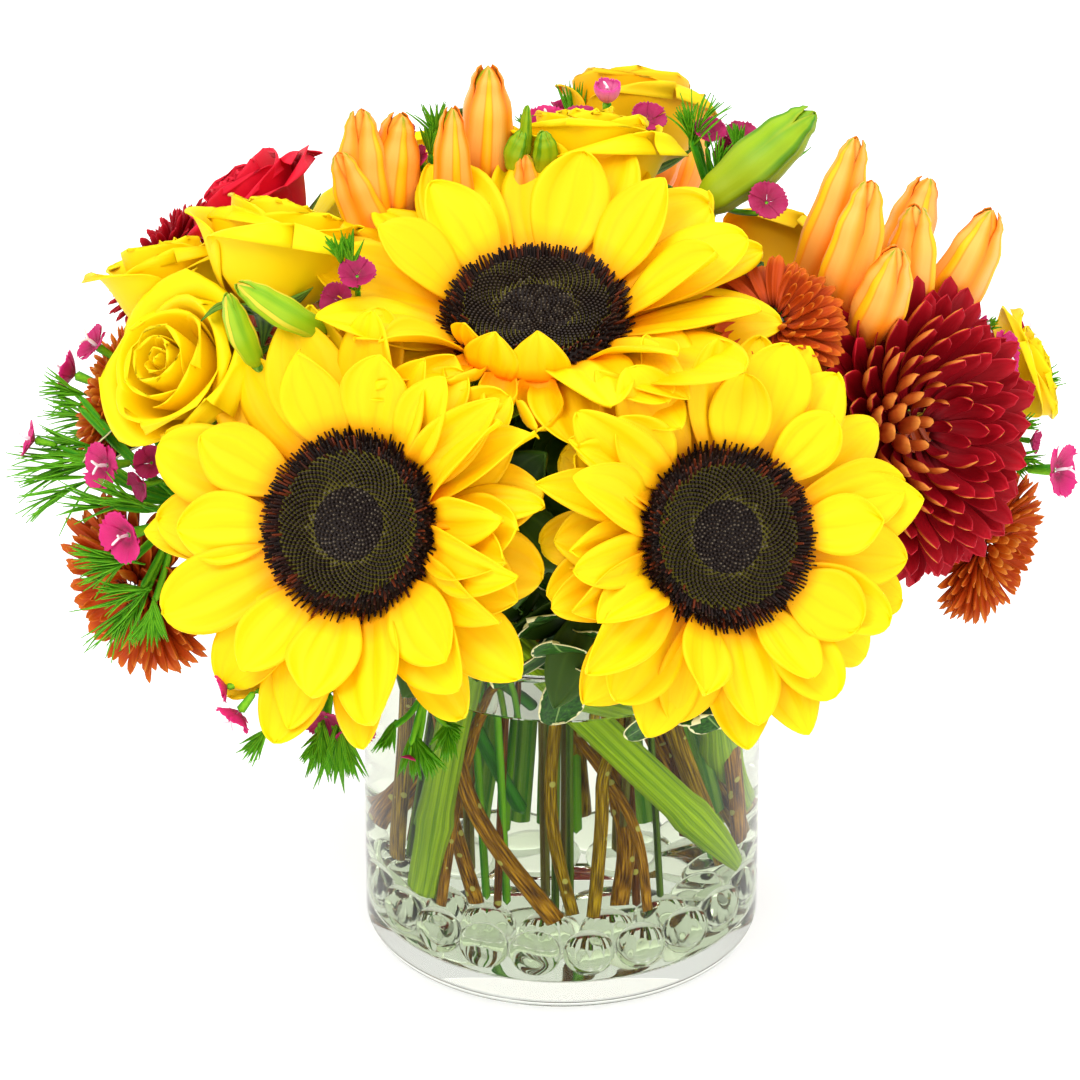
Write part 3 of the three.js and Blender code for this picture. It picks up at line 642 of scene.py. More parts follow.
def makeSunflowerDisc(side, head, material):
    s = discSettings
    draw = random.Random(head["seed"] + 100)
    bm = startPiece()
    toneLayer = bm.faces.layers.float["tone"]
    radius = head["disc"]

    def surface(share):
        # the middle is a hollow, and the rim turns down
        rim = s["rimDrop"] * max(0, share - s["rimFrom"]) / (1 - s["rimFrom"])
        swell = math.sin(min(share / 0.74, 1) * math.pi / 2) ** 2
        return s["depth"] - s["hollow"] + s["hollow"] * swell - rim

    def base(u, v):
        share = min(v * 1.25, 1)
        turn = u * 2 * math.pi
        down = max(0, v - 0.8) * 5
        size = radius * share * (1 - 1.8816 * max(0, down - 0.5))
        return Vector((math.cos(turn) * size, math.sin(turn) * size, surface(share) - 0.8 - 2.4 * down))
    grow(bm, 64, 40, base, tone=s["baseTone"], closed=True)
    for face in bm.faces:
        middle = face.calc_center_median()
        share = middle.xy.length / radius
        if middle.z > 0 and s["oliveFrom"] - 0.06 < share < s["spikyFrom"] + 0.03:
            face[toneLayer] = s["oliveTone"]

    # the florets are made a batch at a time, which is far quicker than in one large mesh
    batch = startPiece()
    for k in range(s["florets"]):
        share = math.sqrt((k + 0.5) / s["florets"])
        turn = k * goldenAngle
        spiky = share > s["spikyFrom"] + draw.uniform(-0.03, 0.03)
        if spiky:
            tall, wide, tone = draw.uniform(*s["spikyTall"]), 0.5, draw.choice(s["spikyTones"])
            lean = min(0.25 + 0.9 * (share - 0.7) / 0.3 + draw.uniform(-0.3, 0.3), 0.95)
        elif share > s["oliveFrom"] + draw.uniform(-0.04, 0.04):
            tall, wide, tone = 1.5, 0.52 + 0.08 * draw.random(), draw.choice(s["middleTones"])
            lean = 0.1
        else:
            tall, wide, tone = 1.3, 0.34 + 0.24 * share, draw.choice(s["innerTones"])
            lean = 0
        foot = radius * share * 0.985, 0, surface(share) - 0.7
        place = Matrix.Rotation(turn, 4, "Z") @ Matrix.Translation(foot)
        place = place @ Matrix.Rotation(lean, 4, "Y") @ Matrix.Translation((0, 0, tall / 2))
        top = wide * (0.6 if spiky else 0.72)
        made = bmesh.ops.create_cone(batch, cap_ends=True, cap_tris=False, segments=5, radius1=wide,
                                     radius2=top, depth=tall, matrix=place)["verts"]
        for face in {face for vert in made for face in vert.link_faces}:
            face[batch.faces.layers.float["tone"]] = tone
        if (k + 1) % s["batch"] == 0 or k == s["florets"] - 1:
            part = bpy.data.meshes.new("batch")
            batch.to_mesh(part)
            bm.from_mesh(part)
            bpy.data.meshes.remove(part)
            batch.free()
            batch = startPiece()
    batch.free()
    setPiece(bm, f"sunflower{side.title()}Disc", [material], [f"sunflower_{side}_disc"],
             stance(head["at"], head["az"], head["el"]))


def makeSunflowerStem(side, head, stemMaterial):
    draw = random.Random(head["seed"] + 50)
    place = stance(head["at"], head["az"], head["el"])
    bm = startPiece()
    s, disc = bractSettings, head["disc"]

    def dish(u, v):
        turn, wide = u * 2 * math.pi, disc * through(s["cup"], v)
        return Vector((math.cos(turn) * wide, math.sin(turn) * wide, through(s["heights"], v)))
    grow(bm, 32, 12, dish, closed=True)
    for i in range(s["count"]):
        turn = i / s["count"] * 2 * math.pi + draw.uniform(-0.1, 0.1)
        shape = petalShape(draw.uniform(*s["length"]), draw.uniform(*s["half"]), outline(0.8, 0.3, 1.2),
                           (draw.uniform(-14, 4), draw.uniform(-26, 24)), roll=0.5, ruffle=1.5, seed=i)
        grow(bm, 4, 8, placed(shape, turn, disc * 0.62, -6.8 - 0.9 * (i % s["rows"])), tone=draw.random())
    setPiece(bm, f"sunflower{side.title()}Bracts", [stemMaterial], [], place, 0.5)

    neck = place @ Vector((0, 0, -9)) / mm

    def thick(v):
        # a node a little above the cut end
        node = 0.2 * math.exp(-((v - 0.86) / 0.018) ** 2)
        cut = head["cut"] * max(0, v - 0.9) / 0.1
        return head["stemRadius"] * (0.82 + 0.18 * min(v * 2, 1) + node - cut)
    bm = startPiece()
    growStem(bm, [neck] + head["stem"], thick, 44, 48, ridges=11, ridgeDepth=0.035)
    setPiece(bm, f"sunflower{side.title()}Stem", [stemMaterial], [f"sunflower_{side}_stem"],
             scaled)


def makeSunflowers():
    # the orange root colour of these petals is painted shade, where they overlap round the disc
    petal = petalFinish("sunflowerPetal", "#ff9000", "#ffd600", "#ffe400", "#ffae00", veins=4,
                        veinShare=0.26)
    floret = discFinish()
    stem = stemFinish("sunflowerStalk", "#5c9002", "#bce01c", 11, contrast=0.08)
    for side, head in sunflowerSettings.items():
        makeSunflowerPetals(side, head, [petal])
        makeSunflowerDisc(side, head, floret)
        makeSunflowerStem(side, head, stem)
    print("sunflowers")


# open tells how far the outer petals have turned out
roseSettings = table("at az el open radius seed colour", [
    ("rose_upper_left", (-88, -18, 245), 160, 62, 0.4, 30, 11, "yellow"),
    ("rose_left", (-120, 8, 221), -150, 62, 0.4, 28, 12, "yellow"),
    ("rose_lower_left", (-116, -38, 214), -50, 40, 0.8, 28, 13, "yellow"),
    ("rose_top", (8, 32, 253), 180, 64, 0.4, 30, 14, "yellow"),
    ("rose_gold", (22, 82, 244), 170, 55, 0.3, 29, 15, "gold"),
    ("rose_red", (-97, 42, 232), -110, 52, 0.7, 25, 16, "red"),
    ("rose_right", (143, 28, 181), 98, 20, 0.5, 22, 17, "yellow"),
    ("rose_back_left", (-50, 100, 208), -150, 36, 0.8, 29, 18, "yellow"),
    ("rose_back_right", (70, 98, 180), 146, 26, 0.8, 28, 19, "gold"),
])
rosePetals = {"inner": 8, "outer": 7, "thickness": 0.4, "across": 20, "along": 16,
              "sepals": 5, "sepalHalf": 4.2}


def rosePetal(radius, k, turn, wideOpen, draw):
    # one petal of a rose: the inner ones wrap the middle, the outer ones stand round it and turn
    # their rims out; every measure is a share of the radius
    p = rosePetals
    t = max(0, k - p["inner"] + 1) / p["outer"]
    foot = radius * (0.05 + 0.18 * t)
    belly = radius * (0.06 + 0.40 * min(k / p["inner"], 1) + 0.34 * t)
    flare = radius * 0.36 * wideOpen * t * draw.uniform(0.6, 1.3)
    high = radius * (0.52 - 0.10 * t) * draw.uniform(0.93, 1.08)
    droop = radius * 0.34 * wideOpen * t * t * draw.uniform(0.4, 1.3)
    span = 1.9 - 0.6 * t
    corner = radius * (0.04 + 0.4 * t * wideOpen) * draw.uniform(0.5, 1.3)
    wave = radius * (0.02 + 0.1 * t)
    seed = draw.uniform(0, 90)
    low = -0.62 * radius
    width = outline(0.6, 0.6, 0.25)

    def shape(u, v):
        s = 2 * u - 1
        v = 1 - (1 - v) ** 1.4
        angle = turn + s * span * width(v)
        wide = foot + (belly - foot) * math.sin(v * math.pi / 2) ** 0.6 + flare * v ** 5
        wide *= 1 + 0.06 * s
        wide += wave * v * v * noise.noise(Vector((s * 1.6 + seed, v * 1.6, seed)))
        wide += 0.4 * corner * s * s * v ** 4
        z = low + (high - low) * v - droop * v ** 6 - corner * s * s * v ** 2
        return Vector((wide * math.cos(angle), wide * math.sin(angle), z))
    return shape


def makeRoses():
    finishes = {
        "yellow": petalFinish("rosePetalYellow", "#ffb800", "#ffdc00", "#ffe400", "#ffc800", veins=2,
                              veinShare=0.15),
        "gold": petalFinish("rosePetalGold", "#ffa800", "#ffc408", "#ffd614", "#ffac00", veins=2,
                            veinShare=0.15),
        "red": petalFinish("rosePetalRed", "#a00218", "#dc0a26", "#ee1c3a", "#b80620", veins=3),
    }
    green = stemFinish("roseSepal", "#3c6a18", "#7fae34", 3)
    p = rosePetals
    for name, rose in roseSettings.items():
        draw = random.Random(rose["seed"])
        place = stance(rose["at"], rose["az"], rose["el"])
        radius, colour = rose["radius"], rose["colour"]
        bm = startPiece()
        for k in range(p["inner"] + p["outer"]):
            turn = k * goldenAngle + draw.uniform(-0.2, 0.2)
            shape = rosePetal(radius, k, turn, rose["open"], draw)
            grow(bm, p["across"], p["along"], shape, tone=draw.random())
        setPiece(bm, named(name, "Petals"), [finishes[colour]], [name], place, p["thickness"])
        bm = startPiece()
        for k in range(p["sepals"]):
            shape = petalShape(radius * draw.uniform(0.75, 1.0), p["sepalHalf"], outline(0.9, 0.15, 1.2),
                               (draw.uniform(-5, 30), draw.uniform(-70, 40)), roll=0.6, seed=k)
            grow(bm, 4, 8, placed(shape, k / p["sepals"] * 2 * math.pi, 2.5, -0.66 * radius))
        setPiece(bm, named(name, "Sepals"), [green], [], place, 0.5)
    print("roses")


# half is a petal's half width as a share of the radius, curl bends the inner petals in, and tipped is
# how far from the middle the petals show their pale backs
mumSettings = table("at az el radius petals seed colour half curl tipped", [
    ("mum_burgundy", (106, -28, 189), 42, 20, 46, 250, 21, "wine", 0.1, 2.4, 0.62),
    ("mum_bronze_top", (64, -40, 232), 30, 55, 22, 190, 22, "bronze", 0.08, 1.3, 0.62),
    ("mum_bronze_right", (136, 12, 128), 62, -10, 25, 170, 23, "bronze", 0.08, 1.3, 0.62),
    ("mum_bronze_low", (-134, -22, 131), -52, -8, 29, 170, 24, "bronze", 0.08, 1.3, 0.62),
    ("mum_bronze_left", (-140, 12, 180), -92, 18, 23, 160, 25, "bronze", 0.08, 1.3, 0.62),
    ("mum_wine_left", (-126, 54, 206), -112, 32, 23, 150, 26, "wine", 0.08, 1.3, 0.15),
    ("mum_back", (8, 122, 172), 178, 12, 33, 220, 27, "wine", 0.08, 1.3, 0.3),
    ("mum_back_left", (-102, 88, 160), -132, 6, 28, 180, 28, "bronze", 0.08, 1.3, 0.62),
    ("mum_back_right", (108, 78, 152), 128, 4, 28, 180, 29, "bronze", 0.08, 1.3, 0.62),
])
# back is how far round from the middle the outermost petals sit
mumPetals = {"back": 108, "thickness": 0.35, "across": 4, "along": 8, "width": outline(0.5, 0.72, 0.42)}


def mumPetal(radius, t, wide, curl, draw):
    # t runs from the middle, where petals bend in, to the outside, where they lie open
    polar = math.radians(8 + (mumPetals["back"] - 8) * t ** 0.85)
    length = radius * (0.22 + 0.56 * min(t * 1.5, 1) ** 0.8) * draw.uniform(0.9, 1.08)
    bend = math.radians(-112 + 112 * min(t * 1.1, 1) ** curl + draw.uniform(-14, 14))
    half = radius * wide * (0.5 + 0.72 * min(t * 1.4, 1)) * draw.uniform(0.85, 1.15)
    roll = 1.4 - 0.55 * t
    core = radius * (0.20 + 0.08 * t)
    sway = draw.uniform(-0.12, 0.12)
    first = polar - bend * 0.45

    def shape(u, v):
        s = 2 * u - 1
        v = 1 - (1 - v) ** 1.4
        slope = first + bend * v
        out = core * math.sin(polar) + length * (math.cos(first) - math.cos(slope)) / bend
        up = core * 0.6 * math.cos(polar) + length * (math.sin(slope) - math.sin(first)) / bend
        wide = half * mumPetals["width"](v)
        y = wide * math.sin(s * roll) / roll + sway * length * v * v
        lift = wide * (1 - math.cos(s * roll)) / roll
        return Vector((out - lift * math.cos(slope), y, up + lift * math.sin(slope)))
    return shape


def makeMums():
    finishes = {
        "wine": (petalFinish("mumWine", "#4a0208", "#a80a1c", "#d01c30", "#7c0612", veins=2),
                 petalFinish("mumWineBack", "#7c1408", "#c05a1c", "#f0a040", "#a03010", veins=2)),
        "bronze": (petalFinish("mumBronze", "#7e2206", "#c84c0c", "#ec801c", "#9a3004", veins=2),
                   petalFinish("mumBronzeBack", "#a03408", "#d06a14", "#f4a03c", "#a84008", veins=2)),
    }
    p = mumPetals
    for name, mum in mumSettings.items():
        draw = random.Random(mum["seed"])
        place = stance(mum["at"], mum["az"], mum["el"])
        bm = startPiece()
        for k in range(mum["petals"]):
            t = math.sqrt((k + 0.5) / mum["petals"])
            turn = Matrix.Rotation(k * goldenAngle, 4, "Z")
            shape = mumPetal(mum["radius"], t, mum["half"], mum["curl"], draw)
            if clearOfSunflowers(place @ turn @ shape(0.5, 1) / mm, -2):
                grow(bm, p["across"], p["along"], lambda u, v: turn @ shape(1 - u, v), tone=draw.random(),
                     material=0 if t < mum["tipped"] else 2)
        # a petal's back has the finish that follows its front's
        front, back = finishes[mum["colour"]]
        setPiece(bm, named(name, "Petals"), [front, back, front, front], [name],
                 place, p["thickness"], back=1)
    print("chrysanthemums")


# each bud runs from its foot to its tip and has a radius; an extra spray replaces no node
lilySettings = {
    "lily_left": {"hub": (-44, 8, 205), "colour": "orange", "buds": [
        ((-54, 6, 230), (-62, 12, 279), 8), ((-50, 10, 228), (-50, 14, 277), 8.5),
        ((-48, 4, 226), (-69, 4, 268), 7)]},
    "lily_centre": {"hub": (-22, 14, 208), "colour": "orange", "buds": [
        ((-23, 16, 236), (-23, 25, 288), 8.5), ((-30, 8, 230), (-34, 5, 283), 6),
        ((-12, 10, 236), (-12, 12, 264), 5)]},
    "lily_green": {"hub": (44, 8, 206), "colour": "green", "buds": [
        ((42, 14, 244), (77, 20, 275), 8.2)]},
    "lily_right": {"hub": (84, 10, 186), "colour": "orange", "buds": [
        ((72, -2, 220), (90, 0, 275), 7.5), ((80, -14, 214), (94, -12, 266), 8.5),
        ((96, 14, 206), (114, 34, 246), 8), ((90, -20, 214), (101, -34, 254), 8),
        ((100, -2, 206), (108, -2, 253), 8.5), ((108, 6, 202), (133, 10, 246), 8.5)]},
    "lily_pair": {"hub": (-82, -46, 214), "colour": "pair", "buds": [
        ((-92, -57, 226), (-100, -66, 254), 4), ((-72, -56, 236), (-97, -65, 257), 4.6)]},
    "bud_cluster": {"hub": (-8, 10, 236), "colour": "green", "extra": True, "buds": [
        ((-15, 13, 257), (-12, 14, 271), 3.4), ((-7, 12, 257), (-6, 11, 272), 3.6),
        ((-11, 14, 262), (-11, 15, 279), 1.7)]},
    "lily_back": {"hub": (22, 92, 186), "colour": "orange", "buds": [
        ((30, 106, 206), (36, 132, 238), 8), ((20, 112, 200), (12, 142, 230), 8),
        ((34, 116, 190), (44, 150, 214), 8)]},
}
budProfile = [(0, 0.34), (0.22, 0.78), (0.45, 1.0), (0.68, 0.86), (0.86, 0.5), (0.96, 0.2), (1, 0.0)]
# a spray's stem runs down through the neck to its foot, each at a share of how far out its hub is
lilyParts = {"tepals": 3, "tepalSpan": 74, "opening": 0.22, "thickness": 0.4, "stalk": 1.7, "stem": 2.3,
             "neckShare": 0.32, "neckHeight": 118, "footShare": 0.42, "footHeight": 40, "footY": (-6, 40)}


def budSpine(hub, foot, tip, radius):
    # a bud bows a little away from the middle of its spray
    bow = (foot + tip) / 2 + Vector((tip.x - hub.x, tip.y - hub.y, 0)).normalized() * radius * 0.3

    @lru_cache(maxsize=None)
    def frameAt(v):
        line = [foot, bow, tip]
        ahead = alongCurve(line, min(v + 0.01, 1)) - alongCurve(line, max(v - 0.01, 0))
        ahead.normalize()
        side = ahead.cross(Vector((0.1, 1, 0.1))).normalized()
        return alongCurve(line, v), side, ahead.cross(side)
    return frameAt


def budShape(spine, radius, turnBy):
    # the closed core of a bud
    def shape(u, v):
        centre, side, over = spine(round(v, 5))
        turn = u * 2 * math.pi + turnBy
        size = radius * 0.9 * through(budProfile, v)
        return centre + (side * math.cos(turn) + over * math.sin(turn)) * size
    return shape


def tepalShape(spine, radius, middle, draw):
    # one of the three outer petals that wrap the bud and part at its tip
    span = math.radians(lilyParts["tepalSpan"]) * draw.uniform(0.9, 1.1)
    lift = lilyParts["opening"] * draw.uniform(0.5, 1.3)

    def shape(u, v):
        s = 2 * u - 1
        v = 1 - (1 - v) ** 1.3
        centre, side, over = spine(round(v, 5))
        angle = middle + 0.3 * v + s * span * max(0.0, 1 - v ** 5) ** 0.5
        rib = 0.12 * math.exp(-(s / 0.14) ** 2)
        size = radius * (through(budProfile, v) * (1.0 + rib - 0.06 * s * s) + lift * v ** 6)
        return centre + (side * math.cos(angle) + over * math.sin(angle)) * size
    return shape


def makeLilies():
    finishes = {
        # the deep orange root colour of these buds is painted shade on their sides and towards their foot
        "orange": budFinish("lilyOrange", "#ffc05c", "#ff9c1c", "#ffcc10", "#ff7808", "#6a9a10"),
        "pair": budFinish("lilyPair", "#a8c818", "#7cb00c", "#ffd83c", "#8cb414", "#f8b83c"),
        "green": budFinish("lilyGreen", "#98bc10", "#78a808", "#528c06", "#a8b410", "#3f9412"),
    }
    green = stemFinish("lilyStalk", "#3f8418", "#86b83a", 5)
    p = lilyParts
    for name, spray in lilySettings.items():
        draw = random.Random(name)
        buds, stalks = startPiece(), startPiece()
        hub = Vector(spray["hub"])
        for foot, tip, radius in spray["buds"]:
            foot, tip = Vector(foot), Vector(tip)
            spine = budSpine(hub, foot, tip, radius)
            turn = draw.uniform(0, 6)
            grow(buds, 24, 16, budShape(spine, radius, turn), closed=True)
            for k in range(p["tepals"]):
                shape = tepalShape(spine, radius, turn + k * 2 * math.pi / p["tepals"], draw)
                grow(buds, 28, 24, shape, tone=draw.random())
            stalk = [hub, hub.lerp(foot, 0.5) + Vector((0, 0, -3)), foot.lerp(tip, 0.04)]
            growStem(stalks, stalk, lambda v: p["stalk"] + 0.8 * v ** 6, 12, 14)
        neck = Vector((hub.x * p["neckShare"], hub.y * p["neckShare"], p["neckHeight"]))
        front, rear = p["footY"]
        footY = max(min(hub.y * p["footShare"], rear), front)
        foot = Vector((hub.x * p["footShare"], footY, p["footHeight"]))
        growStem(stalks, [hub + Vector((0, 0, 1)), hub.lerp(neck, 0.5), neck, foot], p["stem"], 14, 26)
        setPiece(buds, named(name, "Buds"), [finishes[spray["colour"]]], [] if "extra" in spray else [name],
                 scaled, p["thickness"])
        setPiece(stalks, named(name, "Stalks"), [green], [], scaled)
    print("lily buds")


dianthusSettings = {
    # tufts run from base to tip; florets are a place, azimuth, elevation, size and depth of colour
    "dianthus_left": {"hub": (-118, -28, 164), "seed": 31, "tufts": [
        ((-151, -4, 190), (-163, -4, 194)), ((-151, -6, 187), (-159, -6, 188)),
        ((-146, -20, 176), (-174, -16, 172)), ((-146, -24, 175), (-171, -20, 167)),
        ((-148, -26, 170), (-169, -24, 158)), ((-149, -16, 178), (-163, -10, 177)),
        ((-129, -46, 173), (-144, -50, 181)), ((-139, -34, 166), (-157, -30, 163)),
        ((-133, -48, 154), (-152, -46, 157)), ((-135, -50, 154), (-149, -48, 145)),
        ((-130, -50, 145), (-145, -52, 144)), ((-131, -50, 142), (-147, -50, 124)),
        ((-129, -48, 142), (-140, -52, 125)), ((-126, -50, 140), (-131, -54, 127)),
        ((-126, -52, 141), (-125, -56, 128)), ((-148, 26, 166), (-166, 30, 168)),
        ((-146, 30, 160), (-162, 36, 152))],
        "florets": [
        ((-165, -16, 180), -88, 16, 6.5, 0), ((-141, -38, 182), -48, 14, 8.5, 0.2),
        ((-127, -32, 180), -20, 30, 6, 0.5), ((-130, -36, 174), -60, 0, 6, 0.9),
        ((-134, -54, 166), -40, 8, 9.5, 0), ((-146, 4, 203), -80, 40, 7, 0.4),
        ((-156, 34, 178), -100, 20, 8, 0.2)]},
    "dianthus_low": {"hub": (-76, -88, 134), "seed": 32, "tufts": [
        ((-90, -104, 126), (-96, -108, 117)), ((-73, -98, 123), (-74, -106, 109)),
        ((-74, -98, 121), (-77, -108, 117)), ((-68, -98, 122), (-69, -106, 105)),
        ((-67, -98, 121), (-64, -106, 108))],
        "florets": [
        ((-102, -106, 142), -80, -10, 5, 0), ((-98, -112, 136), -70, -50, 7, 0),
        ((-72, -98, 126), -10, -30, 7.5, 1.0), ((-63, -98, 122), 10, -40, 7, 1.0)]},
    "dianthus_low_front": {"hub": (-42, -76, 124), "seed": 33, "tufts": [
        ((-52, -82, 115), (-56, -90, 109)), ((-46, -84, 111), (-47, -92, 101)),
        ((-44, -84, 111), (-38, -92, 103)), ((-35, -82, 116), (-39, -92, 112)),
        ((-35, -82, 116), (-32, -90, 115)), ((-35, -84, 116), (-35, -92, 108))],
        "florets": [
        ((-47, -90, 109), -20, -60, 2.6, 0.3)]},
    "dianthus_middle": {"hub": (-62, -30, 228), "seed": 34, "tufts": [
        ((-67, -42, 253), (-70, -46, 263)), ((-64, -42, 253), (-64, -44, 264)),
        ((-65, -44, 241), (-64, -50, 236))],
        "florets": [
        ((-62, -46, 251), 0, 60, 6.5, 0.9), ((-68, -44, 241), -30, 30, 6.5, 1.0)]},
    "dianthus_crown_left": {"hub": (-38, 24, 240), "seed": 35, "tufts": [
        ((-39, 22, 266), (-41, 20, 279)), ((-41, 20, 261), (-41, 18, 272)),
        ((-37, 24, 260), (-36, 24, 267))],
        "florets": [
        ((-45, 18, 260), -60, 50, 5, 0.6), ((-49, 16, 268), -70, 60, 5.5, 0.9)]},
    "dianthus_crown": {"hub": (4, 50, 238), "seed": 36, "tufts": [
        ((17, 50, 253), (18, 50, 259)), ((-9, 46, 254), (-13, 46, 263)), ((4, 72, 244), (2, 82, 258))],
        "florets": [
        ((-5, 44, 260), -10, 62, 7.5, 0.2), ((6, 48, 259), 10, 66, 7, 0.8),
        ((14, 50, 266), 10, 84, 7, -1), ((27, 50, 259), 20, 70, 6.5, 0.8),
        ((2, 84, 246), 175, 50, 7, 0.3)]},
    "dianthus_crown_right": {"hub": (48, 36, 236), "seed": 37, "tufts": [
        ((40, 40, 257), (38, 40, 270)), ((41, 40, 256), (47, 40, 272)), ((48, 34, 246), (49, 34, 261)),
        ((55, 36, 255), (54, 38, 264)), ((43, 42, 252), (35, 44, 265)), ((66, 50, 240), (76, 56, 250))],
        "florets": [
        ((46, 42, 258), 10, 60, 6, 0.5), ((56, 42, 256), 40, 60, 6.5, 0.9),
        ((52, 38, 253), 20, 30, 6, 1.0), ((63, 4, 252), 20, 50, 7, 1.0)]},
    "dianthus_right": {"hub": (122, 10, 186), "seed": 38, "tufts": [
        ((139, -6, 178), (149, -8, 183)), ((140, -8, 169), (150, -12, 171)),
        ((140, -6, 167), (146, -10, 166)), ((132, 10, 205), (135, 10, 209)),
        ((146, 26, 176), (158, 30, 180)), ((138, 44, 168), (150, 54, 164))],
        "florets": [
        ((123, 6, 214), 60, 30, 7, 0), ((128, 4, 208), 70, 10, 8, 0.1), ((136, 2, 200), 60, 16, 9, 0),
        ((142, -2, 189), 80, -20, 5, 0.6), ((147, -4, 173), 70, 0, 4.5, 0.4),
        ((155, -14, 168), 60, 12, 9.5, 0), ((146, 44, 186), 100, 20, 8, 0.2)]},
    "dianthus_back": {"hub": (-34, 108, 168), "seed": 39, "tufts": [
        ((-40, 122, 176), (-46, 138, 184)), ((-30, 124, 172), (-30, 142, 174)),
        ((-46, 120, 164), (-58, 132, 158)), ((-28, 122, 162), (-22, 136, 152)),
        ((-52, 112, 176), (-66, 122, 184)), ((-36, 124, 158), (-38, 138, 146))],
        "florets": [
        ((-38, 136, 170), -165, 10, 8.5, 0), ((-56, 128, 170), -150, 20, 8, 0.4),
        ((-24, 132, 184), -175, 40, 7.5, 0.2)]},
}
dianthusParts = {"needles": 15, "needleWidth": 0.72, "spread": 22, "petals": 5, "styles": 2}


def floretPetal(size, turn, lift, draw):
    seed = draw.uniform(0, 50)

    def shape(u, v):
        s = 2 * u - 1
        teeth = 1 - 0.13 * abs(math.sin(u * 5.5 * math.pi)) * v ** 6
        reach = size * (0.08 + 0.92 * v) * teeth * (1 - 0.1 * s * s * v)
        angle = turn + s * 0.71 * (0.75 + 0.25 * v ** 0.6)
        ruffled = 0.12 * v * noise.noise(Vector((s * 2 + seed, v * 2, seed)))
        out = reach * math.cos(math.atan(lift) * v)
        z = size * ruffled + reach * math.sin(math.atan(lift) * v) - size * 0.2 * (1 - v) ** 2
        return Vector((out * math.cos(angle), out * math.sin(angle), z))
    return shape


def tuft(bm, base, tip, draw):
    # a brush of narrow leaves that opens from its base towards its tip
    base, tip = Vector(base), Vector(tip)
    base = base - (tip - base) * 0.25
    long = (tip - base).length
    turn = (tip - base).to_track_quat("X", "Z").to_matrix().to_4x4()
    p = dianthusParts
    for _ in range(p["needles"]):
        start = draw.uniform(0, 0.5) * long
        size = (long - start) * draw.uniform(0.75, 1.02)
        slopes = 0, draw.uniform(-26, 26)
        needle = petalShape(size, p["needleWidth"], outline(0.5, 0.35, 1.0), slopes, roll=1.1)
        wide = math.radians(p["spread"] * draw.uniform(-1, 1))
        high = math.radians(p["spread"] * draw.uniform(-1, 1))
        move = Matrix.Translation(base) @ turn @ Matrix.Translation((start, 0, 0))
        move = move @ Matrix.Rotation(wide, 4, "Z") @ Matrix.Rotation(high, 4, "Y")
        grow(bm, 2, 6, lambda u, v: move @ needle(u, v), tone=draw.random())


def floret(blooms, greens, place, size, deep, draw):
    # five toothed petals on a green cup; deep below 0 makes a pale one that is still half shut
    p = dianthusParts
    cup = [(0, 0, -size * 1.3), (0, 0, -size * 0.7), (0, 0, -size * 0.2)]
    growStem(greens, cup, lambda v: size * (0.12 + 0.08 * v), 10, 6, place)
    spin = draw.uniform(0, 6)
    for j in range(p["petals"]):
        lift = 1.3 if deep < 0 else draw.uniform(0.05, 0.45)
        shape = floretPetal(size, spin + j / p["petals"] * 2 * math.pi, lift, draw)
        grow(blooms, 12, 8, lambda u, v: place @ shape(u, v), tone=max(deep, 0) * draw.uniform(0.8, 1),
             material=2 if deep < 0 else 0)
    # only the large, light ones show their styles
    if size > 6 and deep < 0.5:
        for j in range(p["styles"]):
            style = [(0, 0, -2), (0.5, 0.5, 2.5), (draw.uniform(-3, 3), 2 - 4 * j, 5)]
            growStem(blooms, style, 0.3, 6, 8, place, material=1)


def makeDianthus():
    petal = dianthusFinish()
    green = stemFinish("dianthusNeedle", "#2c9010", "#86d020", 2)
    white = plainFinish("dianthusStyle", "#f4eef0", 0.5)
    pale = petalFinish("dianthusPale", "#f6c8dc", "#ee86b4", "#e0409a", "#d81c80", veins=3)
    for name, spray in dianthusSettings.items():
        draw = random.Random(spray["seed"])
        blooms, greens = startPiece(), startPiece()
        hub = Vector(spray["hub"])
        for base, tip in spray["tufts"]:
            tuft(greens, base, tip, draw)
            growStem(greens, [hub, (hub + Vector(base)) / 2 - Vector((0, 0, 2)), base], 0.9, 6, 8)
        for spot, az, el, size, deep in spray["florets"]:
            floret(blooms, greens, Matrix.Scale(1 / mm, 4) @ stance(spot, az, el), size, deep, draw)
            foot = Vector(spot) - heading(az, el) * size * 1.25
            growStem(greens, [hub, (hub + foot) / 2 - heading(az, el) * 2, foot], 0.8, 6, 8)
        growStem(greens, downTo(hub, 0.7), 1.0)
        finishes = [petal, white, pale]
        setPiece(blooms, named(name, "Florets"), finishes, [name], scaled, 0.25)
        setPiece(greens, named(name, "Needles"), [green], [], scaled, 0.3)
    print("dianthus")


sprigSettings = table("at az el leaves length spread seed", [
    ("pittosporum_front", (2, -59, 145), 2, -42, 9, 27, 34, 41),
    ("pittosporum_right", (34, -58, 128), 24, -40, 7, 23, 34, 42),
    ("pittosporum_left", (-118, -4, 176), -84, 26, 6, 24, 40, 43),
    ("pittosporum_centre", (-8, -40, 168), -4, 28, 8, 28, 30, 44),
    ("pittosporum_back", (62, 96, 150), 150, -8, 9, 26, 44, 45),
])


